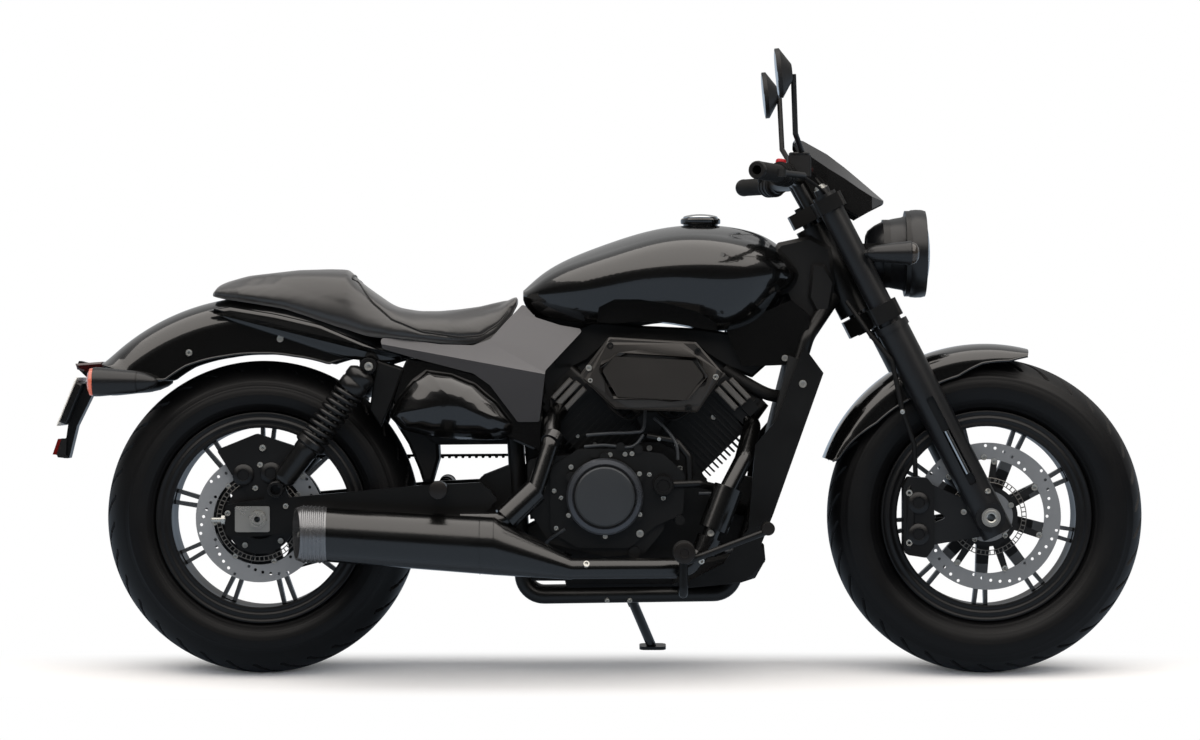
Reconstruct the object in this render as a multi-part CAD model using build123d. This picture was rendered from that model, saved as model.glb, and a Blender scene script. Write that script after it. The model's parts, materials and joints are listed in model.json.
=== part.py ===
from build123d import *
from math import atan2, cos, degrees, pi, radians, sin, sqrt
import os

# A cruiser motorcycle leaning on its side stand, in millimetres.
# It is laid out upright: X forward from the middle of the wheelbase, Y to the rider's left, Z up from the ground.
# At the end every piece leans by the same angle, and the origin goes under the middle of the whole machine.

# --- Driving dimensions ---
wheelbase = 1480.0
lean = 7.0
running_gap = 0.05
seat_gap = 0.3

# Steering
rake = 27.2
fork_offset = 45.0
leg_spread = 118.0
leg_radius = 33.0
leg_length = 440.0
upper_tube_radius = 25.0
slot_from = 76.0
slot_to = 273.0
slot_half = 8.0
slot_depth = 12.0
front_axle_radius = 12.5
front_axle_bore = 8.0
front_axle_half = 152.0
axle_head = 6.0
lower_yoke = leg_length + 8.0
lower_yoke_height = 36.0
head_tube_start = lower_yoke + lower_yoke_height + 6.0
head_tube_end = head_tube_start + 200.0
upper_yoke = head_tube_end + 8.0
upper_yoke_height = 30.0
head_tube_radius = 34.0
head_bore = 22.0
stem_radius = 16.0

# Wheels
crown_radius = 95.0
bead_radius = 203.0
flange_radius = 215.0
rim_inner_radius = 183.0
spoke_count = 9
front_tyre_radius = 323.0
front_tyre_width = 150.0
front_rim_half = 50.0
front_hub_half = 62.0
rear_tyre_radius = 320.0
rear_tyre_width = 180.0
rear_rim_half = 69.0
rear_hub_half = 90.0
rear_axle_radius = 10.0
rear_axle_bore = 6.0
fender_rear_half = rear_tyre_width / 2 + 14

# Brakes
front_disc_radius = 150.0
front_disc_y = -70.0
rear_disc_radius = 130.0
rear_disc_y = -105.0
disc_thickness = 5.0
pad_gap = 5.0

# Frame and rear end
cradle_y = 74.0
cradle_radius = 16.0
backbone_half = 28.0
pivot_x = -290.0
pivot_z = 360.0
barrel_radius = 26.0
arm_inner = 126.0
arm_outer = 154.0
belt_y = 97.0
belt_width = 24.0
belt_thickness = 5.0
drive_x = -170.0
drive_z = 398.0
drive_radius = 44.0
driven_radius = 118.0
shock_y = 158.0
spring_radius = 31.0

# Engine
crank_x = 54.0
crank_z = 390.0
bank_angle = 45.0
fin_count = 13
fin_pitch = 11.5
fin_thickness = 3.5

# Exhaust
muffler_y = -215.0
muffler_radius = 59.0
muffler_end_radius = 54.5
collector_radius = 22.5
header_radius = 18.0

# Tank and side covers
cap_x = 157.0
cap_z = 919.0
cap_radius = 40.0
panel_y = 136.0
pod_y = 170.0

# Lamps
lamp_x = 600.0
lamp_z = 860.0
lamp_radius = 88.0
indicator_y = 150.0

# Bars
bar_radius = 12.7
grip_radius = 17.0
bar_bore = 9.0
bar_half = 400.0

upper_tube_end = upper_yoke + upper_yoke_height + 7.0
front_x = wheelbase / 2
rear_x = -wheelbase / 2
front_z = front_tyre_radius
rear_z = rear_tyre_radius
rise = crown_radius * (1 - cos(radians(lean)))


# --- Helpers ---
def rod(start, end, radius):
    """A round bar between two points."""
    start, end = Vector(*start), Vector(*end)
    plane = Plane(origin=start, z_dir=end - start)
    return extrude(plane * Circle(radius), (end - start).length)


def cone(start, end, radius_start, radius_end):
    """A tapered round bar between two points."""
    start, end = Vector(*start), Vector(*end)
    length = (end - start).length
    body = Cone(radius_start, radius_end, length, align=(Align.CENTER, Align.CENTER, Align.MIN))
    return Plane(origin=start, z_dir=end - start) * body


def cross_rod(x, z, radius, y_from, y_to):
    """A round bar that runs across the machine."""
    return rod((x, y_from, z), (x, y_to, z), radius)


def pipe(points, radius, bend):
    """A bent tube: straight runs joined by tangent arcs."""
    path = FilletPolyline(*points, radius=bend)
    return sweep(Plane(origin=path @ 0, z_dir=path % 0) * Circle(radius), path)


def side_face(points, corner=0):
    face = make_face(Polyline(*points, close=True))
    return fillet(face.vertices(), corner) if corner else face


def side_plate(points, y_from, y_to, corner=0, taper=0):
    """A plate seen from the side: points are (x, z), and it is extruded across from y_from to y_to."""
    low, high = sorted((y_from, y_to))
    inward = taper and abs(y_from) < abs(y_to)
    start, direction = (y_from, 1 if y_to > y_from else -1) if inward else (high, -1)
    plane = Plane(origin=(0, start, 0), x_dir=(1, 0, 0), z_dir=(0, -1, 0))
    if direction > 0:
        plane = Plane(origin=(0, start, 0), x_dir=(-1, 0, 0), z_dir=(0, 1, 0))
        points = [(-x, z) for x, z in points]
    return extrude(plane * side_face(points, corner), high - low, taper=taper)


def plan_plate(points, z_from, z_to, corner=0):
    """A plate seen from above: points are (x, y)."""
    return extrude(Plane(origin=(0, 0, z_from)) * side_face(points, corner), z_to - z_from)


def across(points):
    """Adds the mirrored half of an outline given as (x, y) on the left side."""
    return points + [(x, -y) for x, y in reversed(points)]


def spun(points, x=0.0, z=0.0):
    """A ring turned about a wheel's axle: points are (radius, y)."""
    ring = revolve(make_face(Polyline(*points, close=True)), Axis.Y)
    return Location((x, 0, z)) * ring


def fork_point(up, ahead=0.0, side=0.0):
    """A point of the steering assembly, measured up along the fork from the front axle."""
    turn = radians(rake)
    return (
        front_x - up * sin(turn) + ahead * cos(turn),
        side,
        front_z + up * cos(turn) + ahead * sin(turn),
    )


def polar_point(x, z, radius, angle):
    return (x + radius * cos(radians(angle)), z + radius * sin(radians(angle)))


# --- Wheels ---
def tyre(radius, width, rim_half):
    """A carcass with a round crown, open towards the rim."""
    lip = rim_half - 6
    shoulder_y = width / 2 - 11
    shoulder_r = radius - crown_radius + sqrt(crown_radius**2 - shoulder_y**2)
    wall, bead_wall = 11, 17
    with_rim = bead_radius + seat_gap
    outer = make_face(
        [
            Line((with_rim, -lip), (with_rim, lip)),
            Line((with_rim, lip), (flange_radius + 1, lip)),
            ThreePointArc((flange_radius + 1, lip), (flange_radius + 34, width / 2), (shoulder_r, shoulder_y)),
            ThreePointArc((shoulder_r, shoulder_y), (radius, 0), (shoulder_r, -shoulder_y)),
            ThreePointArc((shoulder_r, -shoulder_y), (flange_radius + 34, -width / 2), (flange_radius + 1, -lip)),
            Line((flange_radius + 1, -lip), (with_rim, -lip)),
        ]
    )
    inner_r = shoulder_r - wall
    inner_y = shoulder_y - wall
    hollow = make_face(
        [
            Line((bead_radius - 1, bead_wall - lip), (bead_radius - 1, lip - bead_wall)),
            Line((bead_radius - 1, lip - bead_wall), (flange_radius + 4, lip - bead_wall)),
            ThreePointArc((flange_radius + 4, lip - bead_wall), (flange_radius + 38, width / 2 - wall - 2), (inner_r, inner_y)),
            ThreePointArc((inner_r, inner_y), (radius - wall, 0), (inner_r, -inner_y)),
            ThreePointArc((inner_r, -inner_y), (flange_radius + 38, wall + 2 - width / 2), (flange_radius + 4, bead_wall - lip)),
            Line((flange_radius + 4, bead_wall - lip), (bead_radius - 1, bead_wall - lip)),
        ]
    )
    return revolve(outer, Axis.Y) - revolve(hollow, Axis.Y)


def rim(rim_half, hub_half, hub_radius, bore, first_spoke):
    """A cast wheel: a barrel with two lips, a hub, and blades that each split in two bars."""
    lip, floor, well = 6, bead_radius, 194
    barrel = [
        (rim_inner_radius, -rim_half),
        (flange_radius, -rim_half),
        (flange_radius, lip - rim_half),
        (floor, lip - rim_half),
        (floor, 24 - rim_half),
        (well, 32 - rim_half),
        (well, rim_half - 32),
        (floor, rim_half - 24),
        (floor, rim_half - lip),
        (flange_radius, rim_half - lip),
        (flange_radius, rim_half),
        (rim_inner_radius, rim_half),
        (rim_inner_radius + 3, 0),
    ]
    spoke_outline = [
        (hub_radius - 6, -14), (118, -12), (rim_inner_radius + 5, -16),
        (rim_inner_radius + 5, 16), (118, 12), (hub_radius - 6, 14),
    ]
    slot_outline = [(122, -3), (rim_inner_radius, -8), (rim_inner_radius, 8), (122, 3)]
    spoke = side_plate(spoke_outline, -13, 13) - side_plate(slot_outline, -14, 14)
    wheel = spun(barrel) + cross_rod(0, 0, hub_radius, -hub_half, hub_half)
    for index in range(spoke_count):
        wheel += Rot(0, first_spoke + index * 360 / spoke_count, 0) * spoke
    return wheel - cross_rod(0, 0, bore, -hub_half - 1, hub_half + 1)


def disc(radius, y, inner, carrier_radius, arm_count, hub_face):
    """A brake disc on a carrier whose arms reach a flange on the hub."""
    half = disc_thickness / 2
    ring = spun([(inner, y - half), (radius, y - half), (radius, y + half), (inner, y + half)])
    for turn in range(arm_count):
        for step in range(6):
            hole_r = inner + 6 + step * (radius - inner - 12) / 5
            hole_x, hole_z = polar_point(0, 0, hole_r, turn * 360 / arm_count + step * 8)
            ring -= cross_rod(hole_x, hole_z, 3.2, y - half - 1, y + half + 1)
    flange = spun([(carrier_radius - 30, hub_face), (carrier_radius, hub_face), (carrier_radius, y - half),
                   (carrier_radius - 30, y - half)])
    arm = side_plate([(carrier_radius - 4, -8), (inner + 3, -6), (inner + 3, 6), (carrier_radius - 4, 8)],
                     y - half, y + half)
    for turn in range(arm_count):
        ring += Rot(0, 20 + turn * 360 / arm_count, 0) * arm
    return ring + flange


def place_front(shape):
    return Location((front_x, 0, front_z)) * shape


def place_rear(shape):
    return Location((rear_x, 0, rear_z)) * shape


nodes = {}
nodes["front_tyre"] = place_front(tyre(front_tyre_radius, front_tyre_width, front_rim_half))
nodes["rear_tyre"] = place_rear(tyre(rear_tyre_radius, rear_tyre_width, rear_rim_half))
nodes["front_rim"] = place_front(
    rim(front_rim_half, front_hub_half, 44, front_axle_radius + running_gap, 13)
)
nodes["rear_rim"] = place_rear(
    rim(rear_rim_half, rear_hub_half, 52, rear_axle_radius + running_gap, 33)
)
nodes["front_disc"] = place_front(disc(front_disc_radius, front_disc_y, 116, 62, 7, -front_hub_half))
nodes["rear_disc"] = place_rear(disc(rear_disc_radius, rear_disc_y, 94, 72, 7, -rear_hub_half))

pulley = cross_rod(0, 0, driven_radius, belt_y - 1, belt_y + belt_width + 1)
pulley -= cross_rod(0, 0, driven_radius - 16, belt_y - 2, belt_y + 6) + cross_rod(
    0, 0, driven_radius - 16, belt_y + belt_width - 6, belt_y + belt_width + 2
)
for index in range(5):
    window_x, window_z = polar_point(0, 0, 74, index * 72)
    pulley -= cross_rod(window_x, window_z, 20, belt_y - 2, belt_y + belt_width + 2)
pulley += cross_rod(0, 0, 48, rear_hub_half, belt_y + belt_width)
pulley -= cross_rod(0, 0, rear_axle_radius + running_gap, rear_hub_half - 1, belt_y + belt_width + 2)
nodes["rear_pulley"] = place_rear(pulley)

# --- Steering: yokes and stem ---
stem_start, stem_end = lower_yoke - 3, upper_yoke + upper_yoke_height + 7
stem = rod(fork_point(stem_start, -fork_offset), fork_point(stem_end, -fork_offset), stem_radius)


def yoke(low, high, middle_half):
    """A clamp across both legs and the stem, square to the fork."""
    plane = Plane(origin=fork_point(low), x_dir=(0, -1, 0), z_dir=Vector(*fork_point(1)) - Vector(*fork_point(0)))
    outline = [
        (leg_spread + 36, -30), (leg_spread + 36, 30), (leg_spread - 34, 36), (0, 20),
        (34 - leg_spread, 36), (-leg_spread - 36, 30), (-leg_spread - 36, -30), (-leg_spread + 34, -32),
        (-middle_half, fork_ahead), (middle_half, fork_ahead), (leg_spread - 34, -32),
    ]
    return extrude(plane * side_face(outline, 8), high - low)


fork_ahead = -fork_offset - 34.0
yokes = stem + yoke(lower_yoke, lower_yoke + lower_yoke_height, 34)
yokes += yoke(upper_yoke, upper_yoke + upper_yoke_height, 34)
for side in (-1, 1):
    yokes -= rod(fork_point(0, 0, side * leg_spread), fork_point(800, 0, side * leg_spread), upper_tube_radius)

legs = {}
for name, side in (("fork_leg_left", 1), ("fork_leg_right", -1)):
    y = side * leg_spread
    leg = rod(fork_point(-38, 0, y), fork_point(leg_length, 0, y), leg_radius)
    leg += rod(fork_point(leg_length - 14, 0, y), fork_point(leg_length, 0, y), leg_radius + 3)
    leg += rod(fork_point(leg_length, 0, y), fork_point(upper_tube_end, 0, y), upper_tube_radius)
    leg += rod(fork_point(upper_tube_end, 0, y), fork_point(upper_tube_end + 12, 0, y), 16)
    leg += cross_rod(front_x, front_z, 30, side * 86, side * (front_axle_half - 2))
    outside = side * (leg_spread + leg_radius)
    groove = [fork_point(slot_from, ahead, 0) for ahead in (-slot_half, slot_half)]
    groove += [fork_point(slot_to, ahead, 0) for ahead in (slot_half, -slot_half)]
    leg -= side_plate([(x, z) for x, _, z in groove], outside - side * slot_depth, outside + side * 2, 4)
    if side < 0:
        bracket = [(570, 395), (600, 400), (705, 352), (768, 312), (735, 285), (600, 262), (568, 258), (566, 280),
                   (600, 300), (655, 322), (600, 352), (566, 372)]
        leg += side_plate(bracket, -116, -100, 4)
    legs[name] = leg - cross_rod(front_x, front_z, front_axle_radius, side * 80, side * 160)

front_axle = cross_rod(front_x, front_z, front_axle_radius, -front_axle_half, front_axle_half)
for side in (-1, 1):
    front_axle += cross_rod(front_x, front_z, 19, side * (front_axle_half - 2), side * (front_axle_half + axle_head))
spacer_left = cross_rod(front_x, front_z, 18, front_hub_half + 0.5, 86)
spacer_right = cross_rod(front_x, front_z, 18, -86, -front_hub_half - disc_thickness - 8)
front_axle += spacer_left + spacer_right
front_axle -= legs["fork_leg_left"] + legs["fork_leg_right"]
front_axle -= cross_rod(front_x, front_z, front_axle_bore, -front_axle_half - 10, front_axle_half + 10)
nodes["front_axle"] = front_axle
nodes["fork_yokes"] = yokes

# --- Front caliper: straddles the disc behind the right leg ---
caliper_outline = [(574, 246), (612, 240), (628, 262), (628, 384), (614, 402), (576, 404), (566, 386), (566, 262)]
caliper = side_plate(caliper_outline, -122, -57, 6)
caliper -= side_plate([(570, 200), (640, 200), (640, 450), (570, 450)],
                      front_disc_y - disc_thickness / 2 - pad_gap, front_disc_y + disc_thickness / 2 + pad_gap)
caliper -= spun([(150 + pad_gap, -80), (0, -80), (0, -60), (150 + pad_gap, -60)], front_x, front_z)
caliper -= legs["fork_leg_right"]
nodes["front_caliper"] = caliper

# --- Front fender: a shell over the front of the wheel, carried between the legs ---
fender_half = leg_spread - leg_radius - seat_gap
fender_wall = 3.5


def fender_profile(half, crown, side_r, skirt_r):
    """The half ring of a fender's cross-section, as (radius, y) lines and one arc."""
    return make_face(
        [
            Line((skirt_r, -half), (side_r, -half)),
            ThreePointArc((side_r, -half), (crown, 0), (side_r, half)),
            Line((side_r, half), (skirt_r, half)),
            Line((skirt_r, half), (skirt_r, -half)),
        ]
    )


front_skin = revolve(fender_profile(fender_half, 352, 322, 200), Axis.Y) - revolve(
    fender_profile(fender_half - fender_wall, 352 - fender_wall, 322 - fender_wall, 190), Axis.Y
)
skirt = [(76, 336), (82, 320), (92, 312), (102, 292), (122, 286), (140, 296), (152, 318), (159, 326)]
sector = [polar_point(0, 0, radius, angle) for angle, radius in skirt]
sector += [polar_point(0, 0, 420, angle) for angle in (161, 130, 100, 76)]
nodes["front_fender"] = place_front(front_skin & side_plate(sector, -120, 120))

# --- Bars, grips, controls, mirrors ---
clamp_y = 52.0
riser = rod(fork_point(upper_yoke + upper_yoke_height, -30, clamp_y), (352, clamp_y, 1008), 15)
riser += rod(fork_point(upper_yoke + upper_yoke_height, -30, -clamp_y), (352, -clamp_y, 1008), 15)
bar_points = [(258, bar_half, 1013), (312, 268, 1011), (352, 120, 1008), (352, -120, 1008), (312, -268, 1011),
              (258, -bar_half, 1013)]
handlebar = pipe(bar_points, bar_radius, 60) + riser
grip_axis = Vector(258 - 312, bar_half - 268, 2).normalized()


def along_grip(distance, side):
    """A point on the grip's centre line, measured inwards from the bar's end."""
    point = Vector(258, bar_half, 1013) - grip_axis * distance
    return (point.X, point.Y * side, point.Z)


for side in (-1, 1):
    handlebar -= rod(along_grip(-2, side), along_grip(60, side), bar_bore)
nodes["handlebar"] = handlebar - yokes

grips = []
for side in (-1, 1):
    grip = rod(along_grip(6, side), along_grip(128, side), grip_radius)
    grip += rod(along_grip(122, side), along_grip(128, side), grip_radius + 4)
    grips.append(grip - rod(along_grip(-1, side), along_grip(130, side), bar_radius + seat_gap))
nodes["grips"] = Compound(grips)

controls = []
for side in (-1, 1):
    housing = rod(along_grip(129, side), along_grip(172, side), 23)
    housing += rod(along_grip(165, side), along_grip(192, side), 18)
    centre = Vector(*along_grip(182, side))
    reservoir = Location((centre.X + 22, centre.Y, centre.Z + 18)) * Box(46, 40, 42)
    housing += fillet(reservoir.edges().filter_by(Axis.Z), 6)
    root = Vector(*along_grip(170, side)) + Vector(26, 0, 0)
    knee = Vector(*along_grip(120, side)) + Vector(52, 0, -4)
    tip = Vector(*along_grip(2, side)) + Vector(48, 0, -6)
    housing += pipe([root, knee, tip], 6.5, 30) + Location(tip) * Cylinder(9, 15)
    controls.append(housing - handlebar)
nodes["hand_controls"] = Compound(controls)

mirrors = []
for side in (-1, 1):
    foot = Vector(*along_grip(182, side)) + Vector(30, 0, 39)
    elbow = Vector(338, side * 300, 1090)
    top = Vector(333, side * 322, 1206)
    mirror = rod(foot, elbow, 5.5) + rod(elbow, top, 5.5)
    mirror += Location(elbow) * Sphere(5.6)
    head_plane = Plane(origin=(300, side * 330, 1207), x_dir=(0, 1, 0), z_dir=(1, 0, 0.1))
    face = extrude(head_plane * RectangleRounded(100, 98, 44), 8)
    back = loft([head_plane.offset(8) * RectangleRounded(100, 98, 44), head_plane.offset(30) * Circle(16)])
    mirrors.append(mirror + face + back - nodes["hand_controls"])
nodes["mirrors"] = Compound(mirrors)

# --- Headlamp, fly screen, instrument, front indicators ---
lamp = cone((lamp_x - 100, 0, lamp_z), (lamp_x - 70, 0, lamp_z), 40, 66)
lamp += rod((lamp_x - 70, 0, lamp_z), (lamp_x - 22, 0, lamp_z), 70)
lamp += rod((lamp_x - 24, 0, lamp_z), (lamp_x + 18, 0, lamp_z), lamp_radius)
lamp -= cone((lamp_x - 60, 0, lamp_z), (lamp_x, 0, lamp_z), 20, 76)
lamp -= rod((lamp_x - 1, 0, lamp_z), (lamp_x + 20, 0, lamp_z), lamp_radius - 6)
lamp_arm = [(lamp_x - 130, lamp_z - 18), (lamp_x - 130, lamp_z + 18), (lamp_x - 48, lamp_z + 18),
            (lamp_x - 48, lamp_z - 18)]
for side in (-1, 1):
    lamp += side_plate(lamp_arm, side * 62, side * 100, 4)
    lamp -= rod(fork_point(0, 0, side * leg_spread), fork_point(800, 0, side * leg_spread), upper_tube_radius)
nodes["headlamp"] = lamp - yokes


def domed_plug(low, rim, edge, crown, flat=6):
    """A plug turned about X: its dome starts at x edge, and its small flat top lies at x crown."""
    middle = (rim * 0.54, crown - (crown - edge) * 0.29)
    outline = make_face(
        [
            Line((0, low), (rim, low)),
            Line((rim, low), (rim, edge)),
            ThreePointArc((rim, edge), middle, (flat, crown)),
            Line((flat, crown), (0, crown)),
            Line((0, crown), (0, low)),
        ]
    )
    return Rot(0, 0, -90) * revolve(outline, Axis.Y)


lens = Location((lamp_x, 0, lamp_z)) * domed_plug(2, lamp_radius - 6, 16, 28)
lens -= rod((lamp_x, 0, lamp_z), (lamp_x + 11, 0, lamp_z), lamp_radius - 10)
nodes["headlamp_lens"] = lens

screen_side = [(350, 1092), (360, 1096), (530, 969), (473, 932), (458, 962), (440, 1000)]
screen_plan = across([(340, 56), (365, 80), (470, 90), (520, 66), (536, 20)])
screen = side_plate(screen_side, -120, 120) & plan_plate(screen_plan, 900, 1120)
hollow_side = [(330, 1080), (356, 1090), (514, 974), (470, 944), (450, 930), (330, 930)]
hollow_plan = across([(320, 50), (365, 75), (468, 85), (512, 62), (520, 20)])
screen -= side_plate(hollow_side, -120, 120) & plan_plate(hollow_plan, 880, 1120)
for side in (-1, 1):
    screen += rod((430, side * 50, 978), (484, side * 50, 944), 6) - yokes
nodes["fly_screen"] = screen

dial = rod((406, 0, 1000), (394, 0, 1018), 30) + rod((420, 0, 975), (404, 0, 1004), 10)
nodes["instrument"] = dial - yokes - handlebar

indicators = []
signal_x, signal_z = lamp_x - 34, lamp_z - 3
for side in (-1, 1):
    y = side * indicator_y
    body = rod((signal_x - 48, y, signal_z), (signal_x, y, signal_z), 20)
    body += rod((signal_x - 6, y, signal_z), (signal_x + 14, y, signal_z), 25)
    body += cone((signal_x - 66, y, signal_z), (signal_x - 48, y, signal_z), 8, 20)
    body += rod((signal_x - 96, side * leg_spread, signal_z), (signal_x - 26, y - side * 4, signal_z), 8)
    body -= rod(fork_point(0, 0, side * leg_spread), fork_point(800, 0, side * leg_spread), upper_tube_radius)
    indicators.append(body)
nodes["front_indicators"] = Compound(indicators)

# --- Frame ---
head_axis = [fork_point(t, -fork_offset) for t in (head_tube_start, head_tube_end)]
spine = rod(head_axis[0], head_axis[1], head_tube_radius)
backbone = [(452, 838), (452, 770), (330, 742), (60, 716), (-200, 676), (-250, 690), (-230, 728), (60, 760), (300, 802)]
spine += side_plate(backbone, -backbone_half, backbone_half, 6)
rail = [(-235, 62, 700), (-330, 92, 655), (-560, 108, 660), (-800, 108, 735)]
for side in (-1, 1):
    spine += pipe([(x, y * side, z) for x, y, z in rail], 12, 50)
    spine += cross_rod(-517, 629, 11, side * 108, side * (shock_y + 20))
    spine += side_plate([(-540, 655), (-494, 655), (-500, 620), (-534, 620)], side * 100, side * 116)
spine += side_plate([(-245, 672), (-215, 672), (-215, 712), (-245, 712)], -72, 72)
spine += side_plate([(-348, 643), (-322, 643), (-322, 667), (-348, 667)], -96, 96)
spine -= rod(fork_point(400, -fork_offset), fork_point(800, -fork_offset), head_bore)
race_gap = stem_radius + running_gap
for low in (head_tube_start, head_tube_end - 20):
    race = rod(fork_point(low, -fork_offset), fork_point(low + 20, -fork_offset), head_bore)
    spine += race - rod(fork_point(low - 1, -fork_offset), fork_point(low + 21, -fork_offset), race_gap)

cradle_path = [(428, 24, 770), (372, cradle_y, 690), (214, cradle_y, 166), (-205, cradle_y, 160), (-232, cradle_y, 640),
               (-250, 40, 690)]
cradles = {}
for name, side in (("frame_cradle_left", 1), ("frame_cradle_right", -1)):
    cradle = pipe([(x, y * side, z) for x, y, z in cradle_path], cradle_radius, 44)
    plate = side_plate([(-226, 300), (-226, 430), (-290, 405), (-330, 360), (-290, 318)],
                       side * (cradle_y - 10), side * (cradle_y + 10), 6)
    cradle += plate
    cradle -= cross_rod(pivot_x, pivot_z, barrel_radius + seat_gap, side * 40, side * 110)
    cradles[name] = cradle - spine
nodes["frame_spine"] = spine

# --- Side stand: swings in its own plane, square to a slanted pin ---
stand_pivot = Vector(10, 128, 158)
stand_slope = sin(radians(lean)) / cos(radians(lean))
foot_y = 262.0
foot_drop = rise / cos(radians(lean))
stand_foot = Vector(62, foot_y, foot_y * stand_slope - foot_drop)
folded = Vector(-1, 0.06, 0.1).normalized()
down_leg = (stand_foot - stand_pivot).normalized()
pin_axis = down_leg.cross(folded).normalized()
stand_plane = Plane(origin=stand_pivot, x_dir=down_leg, z_dir=pin_axis)
pin_radius = 7.0
stand = extrude(stand_plane.offset(-6) * Circle(17), 12)
stand += extrude(stand_plane.offset(-6) * Pos(20, 0) * Rectangle(44, 20), 12)
stand += rod(stand_pivot, (stand_foot - down_leg * 8), 10) - extrude(
    stand_plane.offset(-20) * Circle(24), 40
)
ground_normal = Vector(0, -sin(radians(lean)), cos(radians(lean)))
stand += extrude(Plane(origin=stand_foot, x_dir=(1, 0, 0), z_dir=ground_normal) * RectangleRounded(56, 44, 12), 7)
stand -= extrude(stand_plane.offset(-8) * Circle(pin_radius + running_gap), 16)
nodes["side_stand"] = stand
bracket = extrude(stand_plane.offset(6.3) * Circle(19), 7) + extrude(stand_plane.offset(-13.3) * Circle(19), 7)
web = stand_plane.to_local_coords(Vector(10, cradle_y, 163))
reach = Vector(web.X, web.Y).length
toward = degrees(atan2(web.Y, web.X))
for offset in (6.3, -13.3):
    bracket += extrude(stand_plane.offset(offset) * Rot(0, 0, toward) * Pos(reach / 2, 0) * Rectangle(reach, 36), 7)
bracket += extrude(stand_plane.offset(-13.3) * Circle(pin_radius), 26.6)
bracket += extrude(stand_plane.offset(-13.3) * Rot(0, 0, toward) * Pos(reach - 4, 0) * Rectangle(32, 44), 26.6)
cradles["frame_cradle_left"] += bracket
nodes.update(cradles)

# --- Swingarm, rear axle, belt ---
arm = [(-806, 288), (-806, 348), (-760, 356), (-413, 388), (-290, 394), (-256, 360), (-290, 326), (-413, 318),
       (-760, 284)]
barrel = cross_rod(pivot_x, pivot_z, barrel_radius, -arm_outer, arm_outer)
swingarm = barrel
for side in (-1, 1):
    swingarm += side_plate(arm, side * arm_inner, side * arm_outer, 6)
    swingarm += side_plate([(-734, 346), (-716, 396), (-690, 396), (-670, 346)], side * (arm_inner + 6), side * arm_outer, 5)
swingarm -= cross_rod(rear_x, rear_z, rear_axle_radius, -200, 200)
swingarm += side_plate([(-404, 332), (-404, 360), (-362, 362), (-362, 334)], -arm_inner, arm_inner, 6)
nodes["swingarm"] = swingarm

rear_axle = cross_rod(rear_x, rear_z, rear_axle_radius, -arm_outer - 22, arm_outer + 22)
for side in (-1, 1):
    rear_axle += side_plate([(-786, 294), (-786, 346), (-716, 346), (-716, 294)], side * arm_outer, side * (arm_outer + 5), 4)
    rear_axle += cross_rod(rear_x, rear_z, 17, side * (arm_outer + 5), side * (arm_outer + 18))
rear_axle += cross_rod(rear_x, rear_z, 17, -arm_inner, rear_disc_y - disc_thickness)
rear_axle += cross_rod(rear_x, rear_z, 17, belt_y + belt_width + 0.5, arm_inner)
rear_axle -= cross_rod(rear_x, rear_z, rear_axle_bore, -200, 200)
nodes["rear_axle"] = rear_axle

belt_centres = Vector(rear_x - drive_x, rear_z - drive_z)
belt_span = belt_centres.length
belt_tilt = degrees(atan2(belt_centres.Y, belt_centres.X))
belt_half = degrees(atan2(sqrt(belt_span**2 - (driven_radius - drive_radius) ** 2), driven_radius - drive_radius))


def belt_loop(drive, driven):
    """The outline of a belt round both pulleys."""
    ends = []
    for x, z, radius in ((drive_x, drive_z, drive), (rear_x, rear_z, driven)):
        for sign in (1, -1):
            ends.append(polar_point(x, z, radius, belt_tilt + 180 - sign * belt_half))
    small_top, small_low, big_top, big_low = ends
    nose = polar_point(drive_x, drive_z, drive, belt_tilt + 180)
    tail = polar_point(rear_x, rear_z, driven, belt_tilt)
    return make_face(
        [
            Line(small_top, big_top),
            ThreePointArc(big_top, tail, big_low),
            Line(big_low, small_low),
            ThreePointArc(small_low, nose, small_top),
        ]
    )


belt_plane = Plane(origin=(0, belt_y + belt_width, 0), x_dir=(1, 0, 0), z_dir=(0, -1, 0))
belt = extrude(belt_plane * belt_loop(drive_radius + 0.3 + belt_thickness, driven_radius + 0.3 + belt_thickness), belt_width)
belt -= extrude(belt_plane * belt_loop(drive_radius + 0.3, driven_radius + 0.3), belt_width)
nodes["drive_belt"] = belt

# --- Shocks ---
shocks = []
for side in (-1, 1):
    y = side * shock_y
    top, low = Vector(-517, y, 629), Vector(-703, y, 380)
    line = (low - top).normalized()
    eye = 17
    shock = cross_rod(-517, 629, eye, side * 144, side * 172) + cross_rod(-703, 380, eye - 1, side * 155, side * 176)
    shock += rod((top + line * 10), (top + line * 60), 26)
    shock += rod((top + line * 40), (top + line * 200), 20)
    shock += rod((low - line * 110), (low - line * 16), 23)
    shock += rod((low - line * 122), (low - line * 108), 33)
    for coil in range(9):
        start = top + line * (62 + coil * 14)
        shock += rod(start, (start + line * 7), spring_radius)
    shock += rod((low - line * 20), low, 12) - cross_rod(-703, 380, eye - 2, side * 120, side * 200)
    shock -= cross_rod(-517, 629, 11, side * 100, side * 200)
    shock -= swingarm
    shocks.append(shock)
nodes["shocks"] = Compound(shocks)

# --- Rear caliper ---
caliper_polar = [(62, 92), (62, 164), (92, 172), (122, 164), (122, 92)]
rear_caliper = side_plate([polar_point(rear_x, rear_z, r, a) for a, r in caliper_polar], -123, -84, 6)
half = disc_thickness / 2 + pad_gap
rear_caliper -= cross_rod(rear_x, rear_z, rear_disc_radius + pad_gap, rear_disc_y - half, rear_disc_y + half)
stay = side_plate([(-760, 300), (-700, 300), (-690, 420), (-770, 420)], -123, rear_disc_y - half, 6)
stay -= cross_rod(rear_x, rear_z, 17, -140, -100)
nodes["rear_caliper"] = rear_caliper + stay

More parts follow.
